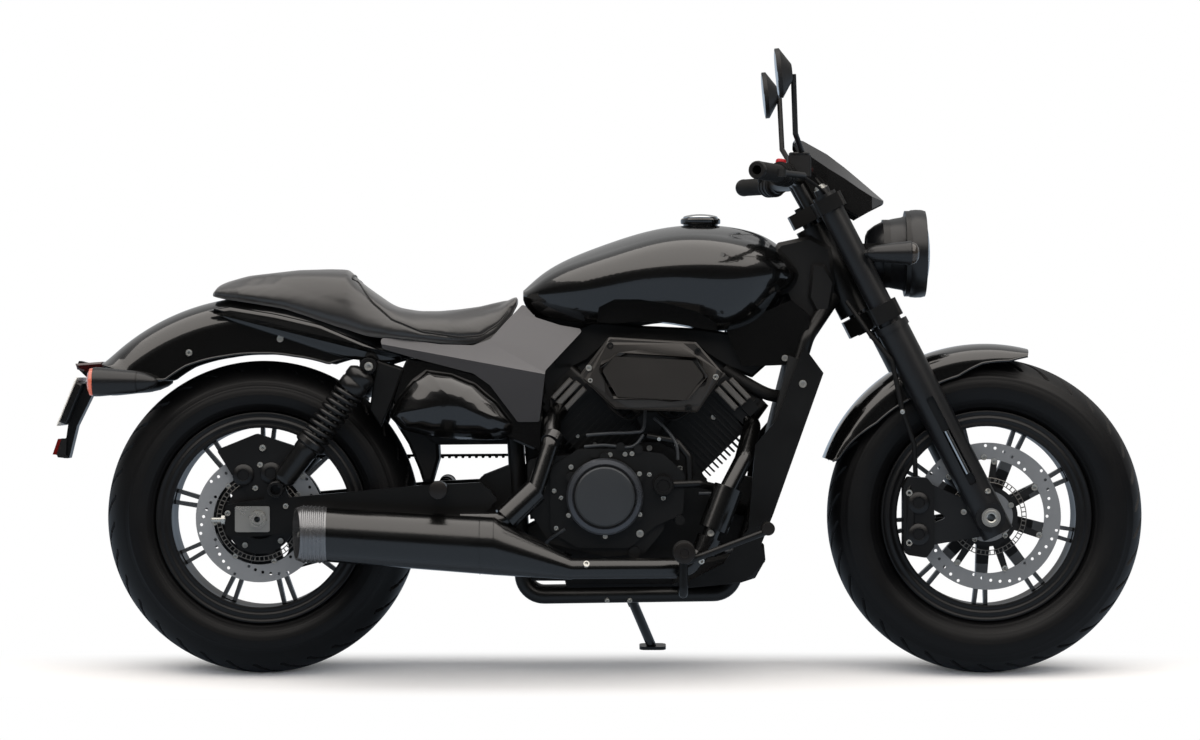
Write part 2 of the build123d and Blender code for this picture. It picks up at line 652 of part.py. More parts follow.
# --- Engine ---
cases_outline = [(-190, 330), (-150, 262), (-60, 226), (60, 224), (150, 246), (186, 300), (184, 372), (140, 440),
                 (70, 474), (38, 474), (-50, 452), (-130, 450), (-190, 430)]
cases = side_plate(cases_outline, -84, 56, 10)
cases += side_plate([(-196, 340), (-150, 270), (-40, 244), (40, 250), (80, 300), (70, 420), (-60, 456), (-196, 440)],
                    -150, -84, 14)
cases += cross_rod(crank_x, crank_z, 104, 50, 118) + cross_rod(crank_x, crank_z, 88, 118, 134)
cases += cross_rod(drive_x, drive_z, drive_radius, 50, belt_y + belt_width)
cases -= cross_rod(drive_x, drive_z, drive_radius + 8, 56, belt_y) - cross_rod(drive_x, drive_z, 22, 50, belt_y + 1)
cases += side_plate([(186, 372), (214, 372), (214, 330), (184, 330)], -40, 40)
side_cover = [(-150, 296), (-96, 262), (10, 262), (62, 306), (118, 330), (122, 412), (78, 452), (-2, 462), (-92, 462),
              (-150, 424)]
cases += side_plate(side_cover, -158, -148, 16)
filler_x, filler_z = 78.0, 388.0
cases += cross_rod(filler_x, filler_z, 22, -172, -150) + cross_rod(filler_x, filler_z, 15, -180, -170)
cases += pipe([(96, -160, 390), (150, -158, 392), (196, -120, 380)], 8, 16)
cases += pipe([(46, -140, 488), (104, -146, 478), (130, -150, 446), (132, -150, 388)], 7, 16)
cases += side_plate([(20, 200), (120, 200), (120, 232), (20, 232)], -60, 60, 6)
for plug_x, plug_z, plug_radius in ((-8, 466, 9), (28, 461, 9), (-60, 452, 9), (112, 318, 10), (20, 252, 12)):
    cases += cross_rod(plug_x, plug_z, plug_radius, -162, -140)

cylinders = {}
for name, sign in (("cylinder_front", 1), ("cylinder_rear", -1)):
    barrel_y = 72
    stack = Box(118, 2 * barrel_y - 12, 150, align=(Align.CENTER, Align.CENTER, Align.MIN))
    stack = Pos(0, 0, 70) * stack
    for fin in range(fin_count):
        size = 152 if fin < fin_count - 4 else 160
        stack += Pos(0, 0, 84 + fin * fin_pitch) * extrude(RectangleRounded(size, 2 * barrel_y, 12), fin_thickness)
    stack += Pos(0, 0, 218) * extrude(RectangleRounded(150, 2 * barrel_y + 4, 14), 20)
    stack += Pos(0, 0, 236) * extrude(RectangleRounded(132, 2 * barrel_y - 16, 18), 46, taper=9)
    stack += Pos(0, 0, 281) * extrude(RectangleRounded(84, 2 * barrel_y - 60, 10), 8)
    for rib in (-34, 0, 34):
        stack += Pos(rib, 0, 262) * Box(8, 2 * barrel_y - 10, 30)
    stack += Pos(-34 * sign, -barrel_y - 2, 250) * Rot(90, 0, 0) * Cylinder(17, 16)
    stack += Pos(30 * sign, -barrel_y + 2, 252) * Box(34, 20, 26)
    tilt = Location((crank_x, 0, crank_z), (0, sign * bank_angle, 0))
    cylinders[name] = (tilt * stack) - cases
cylinders["cylinder_rear"] -= cylinders["cylinder_front"]
for name in cylinders:
    cylinders[name] -= spine + cradles["frame_cradle_left"] + cradles["frame_cradle_right"]

clutch_x, clutch_z = -40.0, 366.0
clutch = cross_rod(clutch_x, clutch_z, 78, -178, -150) + cross_rod(clutch_x, clutch_z, 62, -190, -178)
for index in range(6):
    boss_x, boss_z = polar_point(clutch_x, clutch_z, 78, 30 + index * 60)
    clutch += cross_rod(boss_x, boss_z, 10, -176, -150)
nodes["clutch_cover"] = clutch
cases -= clutch

# --- Fuel tank: a smooth shell lofted over the backbone ---
tank_rows = [  # x, low half width, low z, belly half width, belly z, shoulder half width, shoulder z, top z
    (-207, 18, 764, 30, 773, 20, 781, 784),
    (-165, 50, 729, 80, 784, 56, 808, 820),
    (-91, 84, 717, 122, 804, 82, 843, 859),
    (0, 96, 716, 148, 822, 98, 872, 892),
    (115, 100, 713, 162, 834, 106, 896, 917),
    (215, 96, 703, 160, 836, 102, 892, 915),
    (290, 76, 740, 126, 828, 80, 874, 894),
    (337, 50, 780, 80, 820, 52, 846, 857),
    (357, 26, 803, 44, 816, 28, 826, 830),
]
flank_bulge, shoulder_bulge = 0.16, 0.12


def bulge(start, end, amount):
    """An arc between two points of a section, bowed outwards by a share of its chord."""
    (y0, z0), (y1, z1) = start, end
    middle = ((y0 + y1) / 2 + (z1 - z0) * amount, (z0 + z1) / 2 - (y1 - y0) * amount)
    return ThreePointArc(start, middle, end)


def tank_section(x, low_y, low_z, belly_y, belly_z, shoulder_y, shoulder_z, top_z):
    """The closed cross-section of the tank at x, mirrored about the middle."""
    right = [(low_y, low_z), (belly_y, belly_z), (shoulder_y, shoulder_z)]
    left = [(-y, z) for y, z in reversed(right)]
    edges = [
        Line(left[2], right[0]),
        bulge(right[0], right[1], flank_bulge),
        bulge(right[1], right[2], shoulder_bulge),
        ThreePointArc(right[2], (0, top_z), left[0]),
        bulge(left[0], left[1], shoulder_bulge),
        bulge(left[1], left[2], flank_bulge),
    ]
    return Plane(origin=(x, 0, 0), x_dir=(0, 1, 0), z_dir=(1, 0, 0)) * make_face(edges)


tank = loft([tank_section(*row) for row in tank_rows])
tunnel = [(-260, 640), (-260, 728), (-228, 729), (60, 761), (300, 803), (460, 850), (460, 640)]
tank -= side_plate(tunnel, -backbone_half - 4, backbone_half + 4)
arch = [(-60, 690), (-52, 748), (-20, 764), (30, 764), (95, 754), (150, 738), (186, 716), (196, 680)]
for side in (-1, 1):
    tank -= side_plate(arch, side * 98, side * 200, 4)
tank -= spine
cap_seat = 14.0
tank -= rod((cap_x, 0, cap_z - cap_seat), (cap_x, 0, cap_z + 40), cap_radius - 4)
tank -= rod((cap_x, 0, cap_z + 1.7), (cap_x, 0, cap_z + 40), cap_radius + 1)
nodes["fuel_tank"] = tank
cap = rod((cap_x, 0, cap_z - cap_seat + seat_gap), (cap_x, 0, cap_z + 8), cap_radius - 4.5)
cap += rod((cap_x, 0, cap_z + 2), (cap_x, 0, cap_z + 18), cap_radius)
cap += cone((cap_x, 0, cap_z + 18), (cap_x, 0, cap_z + 22), cap_radius - 4, cap_radius - 8)
nodes["fuel_cap"] = cap

cover = [(206, 704), (340, 764), (378, 732), (374, 680), (354, 632), (240, 628)]
tank_cover = side_plate(cover, 60, 84, 8), side_plate(cover, -84, -60, 8)
# --- Radiator and shroud ---
radiator_side = [(334, 650), (360, 640), (274, 306), (250, 314)]
radiator = side_plate(radiator_side, -130, 130)
shroud_side = [(363, 668), (402, 615), (301, 331), (276, 268), (284, 234), (245, 196), (193, 187), (126, 183),
               (132, 196), (200, 230), (250, 300), (264, 470), (308, 521), (350, 639)]
shroud = side_plate(shroud_side, -150, 150)
shroud -= side_plate([(420, 600), (352, 640), (248, 300), (292, 286)], -122, 122)
shroud -= side_plate([(330, 720), (372, 600), (300, 470), (250, 300), (180, 300), (200, 720)], -140, 140)
shroud -= side_plate([(300, 290), (240, 290), (190, 215), (120, 200), (120, 190), (250, 206), (275, 240)], -144, 144)
for cradle in cradles.values():
    radiator -= cradle
    shroud -= cradle
shroud -= radiator

tank_cover = [piece - spine - cradles[name] - tank - radiator - shroud for piece, name in
              zip(tank_cover, ("frame_cradle_left", "frame_cradle_right"))]

# --- Air cleaner between the cylinders ---
air_outer = [(-32, 688), (144, 678), (200, 614), (147, 535), (-20, 542), (-92, 610)]
air_inner = [(-45, 619), (-21, 648), (135, 640), (159, 609), (121, 560), (-15, 567)]
air_cleaner = side_plate(air_outer, -150, -196, 12, 6) + side_plate(air_inner, -190, -206, 6)
air_cleaner += rod((54, -150, 606), (54, -40, 606), 34)
for stay_x in (crank_x - 116, crank_x + 116):
    air_cleaner += cross_rod(stay_x, 596, 12, -151, -60)
for cylinder in cylinders.values():
    air_cleaner -= cylinder

# --- Exhaust: two headers meet in one silencer that widens, then draws in to its tip ---
collector_x, collector_z = -106.0, 223.0
muffler_rows = [  # x, centre z, radius
    (collector_x, collector_z, collector_radius),
    (-260, 269, muffler_radius),
    (-596, 291, muffler_end_radius),
]


def muffler_ring(x, z, radius):
    return Plane(origin=(x, muffler_y, z), x_dir=(0, 1, 0), z_dir=(1, 0, 0)) * Circle(radius)


muffler = loft([muffler_ring(*row) for row in muffler_rows], ruled=True)
tip_rows = [(-596, 291, muffler_end_radius + 1), (-646, 292, muffler_end_radius + 2), (-680, 293, muffler_end_radius - 9)]
tip_wall = 4.0
bore_rows = [(x - share, z, radius - tip_wall) for (x, z, radius), share in zip(tip_rows, (20, 0, 1))]
muffler_tip = loft([muffler_ring(*row) for row in tip_rows], ruled=True)
muffler_tip -= loft([muffler_ring(*row) for row in bore_rows], ruled=True)
muffler_tip -= plan_plate([(-700, -100), (-700, -300), (-640, -300), (-684, -100)], 200, 400)

header_paths = {  # from each exhaust port to the silencer
    "front": [(196, -20, 560), (262, -66, 510), (240, -150, 440), (206, -176, 376), (168, -184, 272), (128, -188, 224),
              (90, -191, collector_z)],
    "rear": [(-118, -40, 560), (-146, -118, 520), (-148, -172, 474), (-180, -192, 376), (-244, -212, 318),
             (-330, muffler_y, 318)],
}
shields = {  # start, end and radius of each heat shield
    "front": [((210, -175, 384), (178, -183, 300), 30), ((172, -184, 284), (160, -185, 254), 26)],
    "rear": [((-179, -191.5, 378), (-240, -211, 321), 26.5), ((-140, -160, 486), (-148, -172, 474), 22)],
}
headers = []
for name, path_points in header_paths.items():
    header = pipe(path_points, header_radius, 24)
    for start, end, radius in shields[name]:
        header += rod(start, end, radius)
    if name == "front":
        header += rod((104, -190, collector_z), (collector_x - 8, muffler_y, collector_z), collector_radius - 1.5)
    headers.append(header)
headers = [pipe_piece - muffler - cylinders["cylinder_front"] - cylinders["cylinder_rear"] for pipe_piece in headers]
headers = [pipe_piece - cases - cradles["frame_cradle_right"] - shroud - radiator for pipe_piece in headers]
headers = [max(pipe_piece.solids(), key=lambda solid: solid.volume) for pipe_piece in headers]
nodes["muffler_tip"] = muffler_tip - muffler
nodes["muffler"] = muffler
nodes["exhaust_headers"] = Compound(headers)
nodes["engine_cases"] = cases - cradles["frame_cradle_left"] - cradles["frame_cradle_right"] - nodes["swingarm"]
nodes.update(cylinders)
nodes["air_cleaner"] = air_cleaner
nodes["radiator"] = radiator
nodes["radiator_shroud"] = shroud
nodes["tank_cover"] = Compound(tank_cover)

# --- Seat ---
seat_side = [(-842, 771), (-831, 794), (-769, 808), (-666, 820), (-564, 822), (-543, 796), (-522, 781), (-502, 767),
             (-461, 742), (-420, 736), (-358, 738), (-296, 746), (-255, 759), (-226, 790), (-214, 760), (-268, 712),
             (-300, 690), (-360, 681), (-453, 684), (-524, 690), (-593, 712), (-691, 748), (-821, 766)]
seat_plan = across([(-860, 20), (-842, 70), (-780, 104), (-660, 124), (-560, 136), (-450, 148), (-360, 138),
                    (-290, 96), (-235, 62), (-200, 52)])
seat = side_plate(seat_side, -160, 160) & plan_plate(seat_plan, 600, 900)
grown_tank = side_plate([(-232, 700), (-204, 792), (-100, 850), (-100, 700)], -60, 60)
seat = seat - grown_tank
for side in (-1, 1):
    seat -= pipe([(x, y * side, z) for x, y, z in rail], 12 + seat_gap, 50)
seat -= side_plate([(-300, 640), (-300, 700), (-228, 732), (-180, 740), (-180, 640)], -75, 75)
nodes["seat"] = seat

# --- Side covers: a panel that folds in above its crease, and a crowned pod ---
panel_outline = [(-494, 686), (-454, 684), (-374, 673), (-306, 671), (-272, 684), (-240, 720), (-206, 756), (-180, 728),
                 (-130, 712), (-82, 704), (-160, 620), (-172, 516), (-216, 516), (-272, 590), (-306, 614), (-414, 642),
                 (-490, 664)]
pod_outline = [(-402, 630), (-296, 606), (-216, 514), (-232, 484), (-254, 474), (-358, 480), (-452, 494), (-486, 540)]
crease_start, crease_end = Vector(-560, 0, 686), Vector(-60, 0, 594)
panels, pods = [], []
for side in (-1, 1):
    fold = [(side * y, z) for y, z in ((96, -200), (panel_y - 2, -200), (panel_y, 0), (118, 46), (84, 110), (64, 170))]
    fold.append((side * 44, 170))
    crease = Plane(origin=crease_start, x_dir=(0, 1, 0), z_dir=crease_end - crease_start)
    lift = crease.to_local_coords(crease_start + Vector(0, 0, 1)) - crease.to_local_coords(crease_start)
    fold = [(y, z * (1 if lift.Y > 0 else -1)) for y, z in fold]
    folded_bar = extrude(crease * make_face(Polyline(*fold, close=True)), (crease_end - crease_start).length)
    panels.append(side_plate(panel_outline, side * 44, side * 150, 6) & folded_bar)
    crest_y, root_y = side * pod_y, side * 118
    crown = make_face([ThreePointArc((root_y, 646), (crest_y, 548), (root_y, 462)), Line((root_y, 462), (side * 96, 462)),
                       Line((side * 96, 462), (side * 96, 646)), Line((side * 96, 646), (root_y, 646))])
    crown_bar = extrude(Plane(origin=(-520, 0, 0), x_dir=(0, 1, 0), z_dir=(1, 0, 0)) * crown, 340)
    plan = make_face([ThreePointArc((-500, side * 130), (-350, side * (pod_y + 2)), (-190, side * 126)),
                      Line((-190, side * 126), (-190, side * 90)), Line((-190, side * 90), (-500, side * 90)),
                      Line((-500, side * 90), (-500, side * 130))])
    plan_bar = extrude(Plane(origin=(0, 0, 440)) * plan, 240)
    pod = side_plate(pod_outline, side * 96, side * (pod_y + 4), 10) & crown_bar & plan_bar
    pods.append(pod + cross_rod(-238, 506, 9, side * cradle_y, side * 100))
blockers = spine + cradles["frame_cradle_left"] + cradles["frame_cradle_right"] + cylinders["cylinder_rear"]
nodes["side_panels"] = Compound([panel - blockers - tank for panel in panels])
nodes["side_pods"] = Compound([pod - blockers - nodes["side_panels"] for pod in pods])

# --- Rear fender ---
rear_skin = revolve(fender_profile(fender_rear_half, 452, 424, 260), Axis.Y) - revolve(
    fender_profile(fender_rear_half - 5, 447, 419, 250), Axis.Y
)
fender_side = [(-1080, 652), (-1057, 631), (-968, 600), (-934, 600), (-891, 629), (-812, 649), (-743, 655), (-669, 649),
               (-601, 634), (-551, 649), (-487, 631), (-448, 644), (-430, 700), (-600, 900), (-1150, 900)]
rear_skin = place_rear(rear_skin) & side_plate(fender_side, -150, 150)

rear_skin = rear_skin - seat - spine - nodes["side_panels"]
nodes["rear_fender"] = max(rear_skin.solids(), key=lambda solid: solid.volume)

# --- Tail: indicators, plate bracket, plate, reflector ---
tail = []
for side in (-1, 1):
    y = side * 148
    lamp_body = rod((-1055, y, 597), (-985, y, 597), 22) + rod((-1073, y, 597), (-1050, y, 597), 28.5)
    lamp_body += cone((-985, y, 597), (-966, y, 597), 22, 10)
    lamp_body += rod((-1012, side * (fender_rear_half + seat_gap), 612), (-1012, y, 602), 9)
    tail.append(lamp_body)
holder = side_plate([(-1010, 590), (-1010, 612), (-1118, 640), (-1123, 626), (-1100, 604), (-1140, 510), (-1150, 440),
                     (-1138, 440), (-1122, 506), (-1080, 592)], -22, 22, 2)
holder += cross_rod(-1010, 597, 9, -74, 74)
holder += side_plate([(-1030, 588), (-1030, 604), (-1000, 694), (-985, 694), (-1000, 588)], -20, 20)
holder = max((holder - nodes["rear_fender"]).solids(), key=lambda solid: solid.volume)
plate_normal = Vector(-0.925, 0, 0.381)
plate_plane = Plane(origin=(-1134, 0, 556), x_dir=(0, 1, 0), z_dir=plate_normal)
plate = extrude(plate_plane * RectangleRounded(180, 106, 8), 2)
holder += extrude(plate_plane * RectangleRounded(150, 90, 6), -12)
for hole_y in (-60, 60):
    hole = plate_plane.offset(-20) * Pos(hole_y, 38) * Circle(3)
    plate -= extrude(hole, 40)
    holder -= extrude(hole, 40)
reflector = side_plate([(-1150, 446), (-1171, 448), (-1160, 480), (-1146, 480)], -30, 30) - holder
nodes["rear_indicators"] = Compound(tail)
nodes["plate_holder"] = holder - plate
nodes["number_plate"] = plate
nodes["rear_reflector"] = reflector

# --- Footrests and pedals ---
rests = []
for side in (-1, 1):
    y = side * 250
    arm_bar = pipe([(117, side * cradle_y, 172), (117, y, 174), (117, y, 264)], 9, 14)
    rest = arm_bar + rod((117, y, 260), (117, side * 262, 260), 13) + rod((117, side * 262, 260), (117, side * 345, 260), 21)
    rest += rod((117, y, 236), (284, side * 262, 300), 7) + rod((284, side * 240, 306), (284, side * 300, 306), 13)
    rest -= cradles["frame_cradle_left"] + cradles["frame_cradle_right"]
    rests.append(rest)
    back = rod((-372, side * arm_outer, 382), (-372, side * 176, 382), 12)
    back += rod((-372, side * 176, 382), (-372, side * 270, 382), 16)
    rests.append(back - swingarm)
nodes["footrests"] = Compound(rests)

# --- Steering pieces that meet the legs ---
nodes.update(legs)
hose_path = [(452, -100, 760), (500, -132, 690), (541, -136, 640), (561, -130, 546), (588, -112, 470), (592, -96, 405)]
hose = pipe(hose_path, 5, 24)
nodes["brake_hose"] = hose - caliper - legs["fork_leg_right"] - yokes

# --- Parking: lean on the stand, then stand the origin under the middle ---
parked = {}
for name, shape in nodes.items():
    parked[name] = shape.moved(Location((0, 0, rise), (-lean, 0, 0)))
box = Compound([Compound(shape.solids()) for shape in parked.values()]).bounding_box()
shift = Location((-(box.min.X + box.max.X) / 2, -(box.min.Y + box.max.Y) / 2, -box.min.Z))

os.makedirs("parts", exist_ok=True)
for name, shape in parked.items():
    export_step(Compound(shape.moved(shift).solids()), f"parts/{name}.step")
print("pieces", len(parked), "size", box.size, "shift", shift.position)
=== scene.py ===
# %% [markdown]
# A cruiser motorcycle leans on its side stand in a white studio.
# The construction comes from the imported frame: every tube, wheel and bracket already has its place.
# This file gives each piece its surface, and adds what a maker would sew, mould, press or bolt on last.

# %% Load the frame
import bpy, bmesh, json, math
import numpy as np
from mathutils import Matrix, Vector
from mathutils.bvhtree import BVHTree
from mathutils.kdtree import KDTree

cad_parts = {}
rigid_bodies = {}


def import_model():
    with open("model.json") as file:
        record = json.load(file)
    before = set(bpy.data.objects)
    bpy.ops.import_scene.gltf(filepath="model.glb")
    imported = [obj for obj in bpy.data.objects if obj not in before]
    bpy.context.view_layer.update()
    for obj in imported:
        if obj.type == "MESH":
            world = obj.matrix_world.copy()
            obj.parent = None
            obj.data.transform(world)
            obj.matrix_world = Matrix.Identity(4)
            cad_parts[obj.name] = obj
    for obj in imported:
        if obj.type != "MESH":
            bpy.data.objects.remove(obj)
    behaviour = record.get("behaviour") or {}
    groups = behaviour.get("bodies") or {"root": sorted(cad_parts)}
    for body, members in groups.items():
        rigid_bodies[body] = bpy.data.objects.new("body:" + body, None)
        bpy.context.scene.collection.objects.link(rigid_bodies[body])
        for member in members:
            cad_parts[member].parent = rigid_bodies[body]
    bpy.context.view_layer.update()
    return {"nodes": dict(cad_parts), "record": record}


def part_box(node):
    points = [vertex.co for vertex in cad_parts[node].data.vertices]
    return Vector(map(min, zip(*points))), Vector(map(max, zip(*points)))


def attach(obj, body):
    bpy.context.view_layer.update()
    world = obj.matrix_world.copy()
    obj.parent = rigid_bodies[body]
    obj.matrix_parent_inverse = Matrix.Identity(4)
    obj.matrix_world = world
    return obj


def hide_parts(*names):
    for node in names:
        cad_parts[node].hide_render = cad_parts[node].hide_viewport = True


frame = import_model()
nodes = frame["nodes"]
scene = bpy.context.scene

# %% [markdown]
# The machine was laid out upright, with X forward from the middle of the wheelbase, Y to the left and Z up.
# It then leaned on its stand. `parked` takes an upright point, in millimetres, to its place in the scene, in
# metres. The front tyre's middle gives the shift, so the same numbers work here as in the construction.

# %% Upright to parked
lean = math.radians(7)
front_axle_mm = Vector((740, 0, 323))
rear_axle_mm = Vector((-740, 0, 320))
low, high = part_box("front_tyre")
lean_turn = Matrix.Rotation(-lean, 4, "X")
park = Matrix.Translation((Vector(low) + Vector(high)) / 2 - lean_turn @ (front_axle_mm / 1000)) @ lean_turn


def parked(x, y, z):
    """An upright point in millimetres as a scene point in metres."""
    return park @ (Vector((x, y, z)) / 1000)


def leaning(way):
    """An upright direction as a direction in the scene."""
    return park.to_3x3() @ Vector(way)


print("ground point under the middle", parked(0, 0, 0))

# %% [markdown]
# The camera looks square at the machine's right side from eight and a half metres, through a long lens, so
# that near and far pieces keep almost the same size. The machine leans away by seven degrees, so the camera
# is raised by the same seven degrees: the wheels stay round, and the bars keep their height.

# %% Camera
camera_distance = 8500.0
frame_width_at_bike = 2467.0
aim_x, aim_z = -49.5, 621.0
camera_data = bpy.data.cameras.new("camera")
camera_data.sensor_width = 36.0
camera_data.lens = camera_data.sensor_width * camera_distance / frame_width_at_bike
camera_data.clip_end = 200
camera = bpy.data.objects.new("camera", camera_data)
scene.collection.objects.link(camera)
camera.location = parked(aim_x, -camera_distance, aim_z)
camera.rotation_euler = (math.radians(90) - lean, 0, 0)
scene.camera = camera
print("lens", round(camera_data.lens, 1), "mm")

# %% [markdown]
# A node tree is a list of small machines and the wires between them. One helper adds a node, sets its values
# and plugs in what feeds it. Colours are written as they look on a screen, and one function turns them to
# linear light.

# %% Node and colour helpers
def linear(hex_colour):
    """An sRGB hex colour as linear RGBA."""
    values = [int(hex_colour[i:i + 2], 16) / 255 for i in (1, 3, 5)]
    return [v / 12.92 if v <= 0.04045 else ((v + 0.055) / 1.055) ** 2.4 for v in values] + [1.0]


def add(tree, kind, settings=None, **inputs):
    """Adds a node. settings are attributes; inputs are values or sockets, named or by number as i0, i1."""
    node = tree.nodes.new(kind)
    for name, value in (settings or {}).items():
        setattr(node, name, value)
    for name, value in inputs.items():
        numbered = name[0] == "i" and name[1:].isdigit()
        socket = node.inputs[int(name[1:])] if numbered else node.inputs[name.replace("_", " ")]
        if isinstance(value, bpy.types.NodeSocket):
            tree.links.new(value, socket)
        else:
            socket.default_value = value
    return node


def maths(tree, operation, *values):
    """Adds a Math node fed by values or sockets, and returns its result."""
    numbered = {"i" + str(number): value for number, value in enumerate(values)}
    return add(tree, "ShaderNodeMath", {"operation": operation}, **numbered).outputs[0]


def new_object(name, mesh):
    """A new object in the scene."""
    piece = bpy.data.objects.new(name, mesh)
    scene.collection.objects.link(piece)
    return piece


# %% [markdown]
# The studio. A black machine is shaped by what it mirrors, so the room matters more than the lamps: a broad
# warm softbox hangs overhead, the background behind is white, and the side where the camera stands stays dim.
# The world asks each ray what it is. A camera ray or a ray through glass sees white, a mirrored ray sees the
# white behind and above and little in front, and all other light is a plain even grey.

# %% World
scene.view_settings.view_transform = "Standard"
world = bpy.data.worlds.new("studio")
scene.world = world
world.use_nodes = True
tree = world.node_tree
tree.nodes.clear()
even_light, dim_front, white_behind, white_above = 0.3, 0.03, 0.4, 0.3
ray = add(tree, "ShaderNodeLightPath").outputs
straight = maths(tree, "MAXIMUM", ray["Is Camera Ray"], ray["Is Transmission Ray"])
coords = add(tree, "ShaderNodeTexCoord")
split = add(tree, "ShaderNodeSeparateXYZ", None, i0=coords.outputs["Generated"])
behind = add(tree, "ShaderNodeMapRange", None, i0=split.outputs["Y"], i1=-0.1, i2=0.7, i3=dim_front,
             i4=white_behind)
above = add(tree, "ShaderNodeMapRange", None, i0=split.outputs["Z"], i1=0.25, i2=0.9, i3=0.0, i4=white_above)
mirrored = maths(tree, "ADD", behind.outputs[0], above.outputs[0])
indirect = add(tree, "ShaderNodeMix", None, i0=ray["Is Glossy Ray"], i2=even_light, i3=mirrored)
strength = add(tree, "ShaderNodeMix", None, i0=straight, i2=indirect.outputs[0], i3=1.0)
background = add(tree, "ShaderNodeBackground", None, Color=(1, 1, 1, 1), Strength=strength.outputs[0])
add(tree, "ShaderNodeOutputWorld", None, Surface=background.outputs[0])

# %% [markdown]
# One softbox overhead does the modelling, and a weak one in front only lifts the greys: it is hidden from
# mirrored rays, so it never shows as a bright patch in the black paint.

# %% Lamps
soft_lights = [  # name, place, aim, size x, size y, watts, colour, seen in reflections
    ("softbox_overhead", (0.0, -0.9, 3.1), (0.0, -0.1, 0.5), 7.0, 4.4, 190, "#FFF8F1", True),
    ("fill_front", (0.3, -4.6, 1.6), (0.0, 0.0, 0.6), 4.0, 2.0, 45, "#EEF4FF", False),
]
for name, place, target, size_x, size_y, watts, colour, mirrored_too in soft_lights:
    light = bpy.data.lights.new(name, "AREA")
    light.shape = "RECTANGLE"
    light.size, light.size_y, light.energy = size_x, size_y, watts
    light.color = linear(colour)[:3]
    lamp = bpy.data.objects.new(name, light)
    lamp.location = place
    lamp.rotation_euler = (Vector(target) - Vector(place)).to_track_quat("-Z", "Y").to_euler()
    lamp.visible_glossy = mirrored_too
    scene.collection.objects.link(lamp)

# %% [markdown]
# The floor is white paper. Near the machine it is lit like any paper, so it keeps the shadow, and further out
# it turns to plain white for the rays that look at it. Mirrored rays see it dimmer and a little blue.

# %% Floor
half = 40.0
lit_middle, lit_stretch = (0, 0.13, 0), (0.6, 5.2, 0)  # the lit patch is an ellipse, long along the machine
fade_from, fade_to = 0.6, 1.4  # in units of that ellipse
floor_mesh = bpy.data.meshes.new("studio_floor")
floor_mesh.from_pydata([(-half, -half, 0), (half, -half, 0), (half, half, 0), (-half, half, 0)], [],
                       [(0, 1, 2, 3)])
floor = new_object("studio_floor", floor_mesh)
paper = bpy.data.materials.new("white seamless paper")
paper.use_nodes = True
tree = paper.node_tree
tree.nodes.clear()
coords = add(tree, "ShaderNodeTexCoord")
centred = add(tree, "ShaderNodeVectorMath", {"operation": "ADD"}, i0=coords.outputs["Object"], i1=lit_middle)
flat = add(tree, "ShaderNodeVectorMath", {"operation": "MULTIPLY"}, i0=centred.outputs[0], i1=lit_stretch)
away = add(tree, "ShaderNodeVectorMath", {"operation": "LENGTH"}, i0=flat.outputs[0])
fade = add(tree, "ShaderNodeMapRange", {"interpolation_type": "SMOOTHSTEP"}, i0=away.outputs["Value"],
           i1=fade_from, i2=fade_to)
ray = add(tree, "ShaderNodeLightPath").outputs
straight = maths(tree, "MAXIMUM", ray["Is Camera Ray"], ray["Is Transmission Ray"])
plain = maths(tree, "MULTIPLY", maths(tree, "MAXIMUM", straight, ray["Is Glossy Ray"]), fade.outputs[0])
tone = add(tree, "ShaderNodeMix", {"data_type": "RGBA"}, i0=ray["Is Glossy Ray"], i6=linear("#FFFFFF"),
           i7=linear("#A4B1BF"))
sheet = add(tree, "ShaderNodeBsdfDiffuse", None, Color=tone.outputs[2], Roughness=0.5)
glow = add(tree, "ShaderNodeEmission", None, Color=tone.outputs[2], Strength=1.0)
mixed = add(tree, "ShaderNodeMixShader", None, i0=plain, i1=sheet.outputs[0], i2=glow.outputs[0])
add(tree, "ShaderNodeOutputMaterial", None, Surface=mixed.outputs[0])
floor_mesh.materials.append(paper)
print("studio ready")

# %% [markdown]
# Finishes. Each material is named for what the real thing is made of and how its surface was made. A fine
# grain, sized in real millimetres, lifts the surface a little, and a slow cloud varies its colour and gloss,
# as dust, handling and uneven spraying do. Noise repeats about twice per unit of scale, hence the half.

# %% A finish with a grain
cloud_scale = 9.0
gloss_low, gloss_high = 0.88, 1.12
bump_strength, coat_rough = 0.6, 0.03


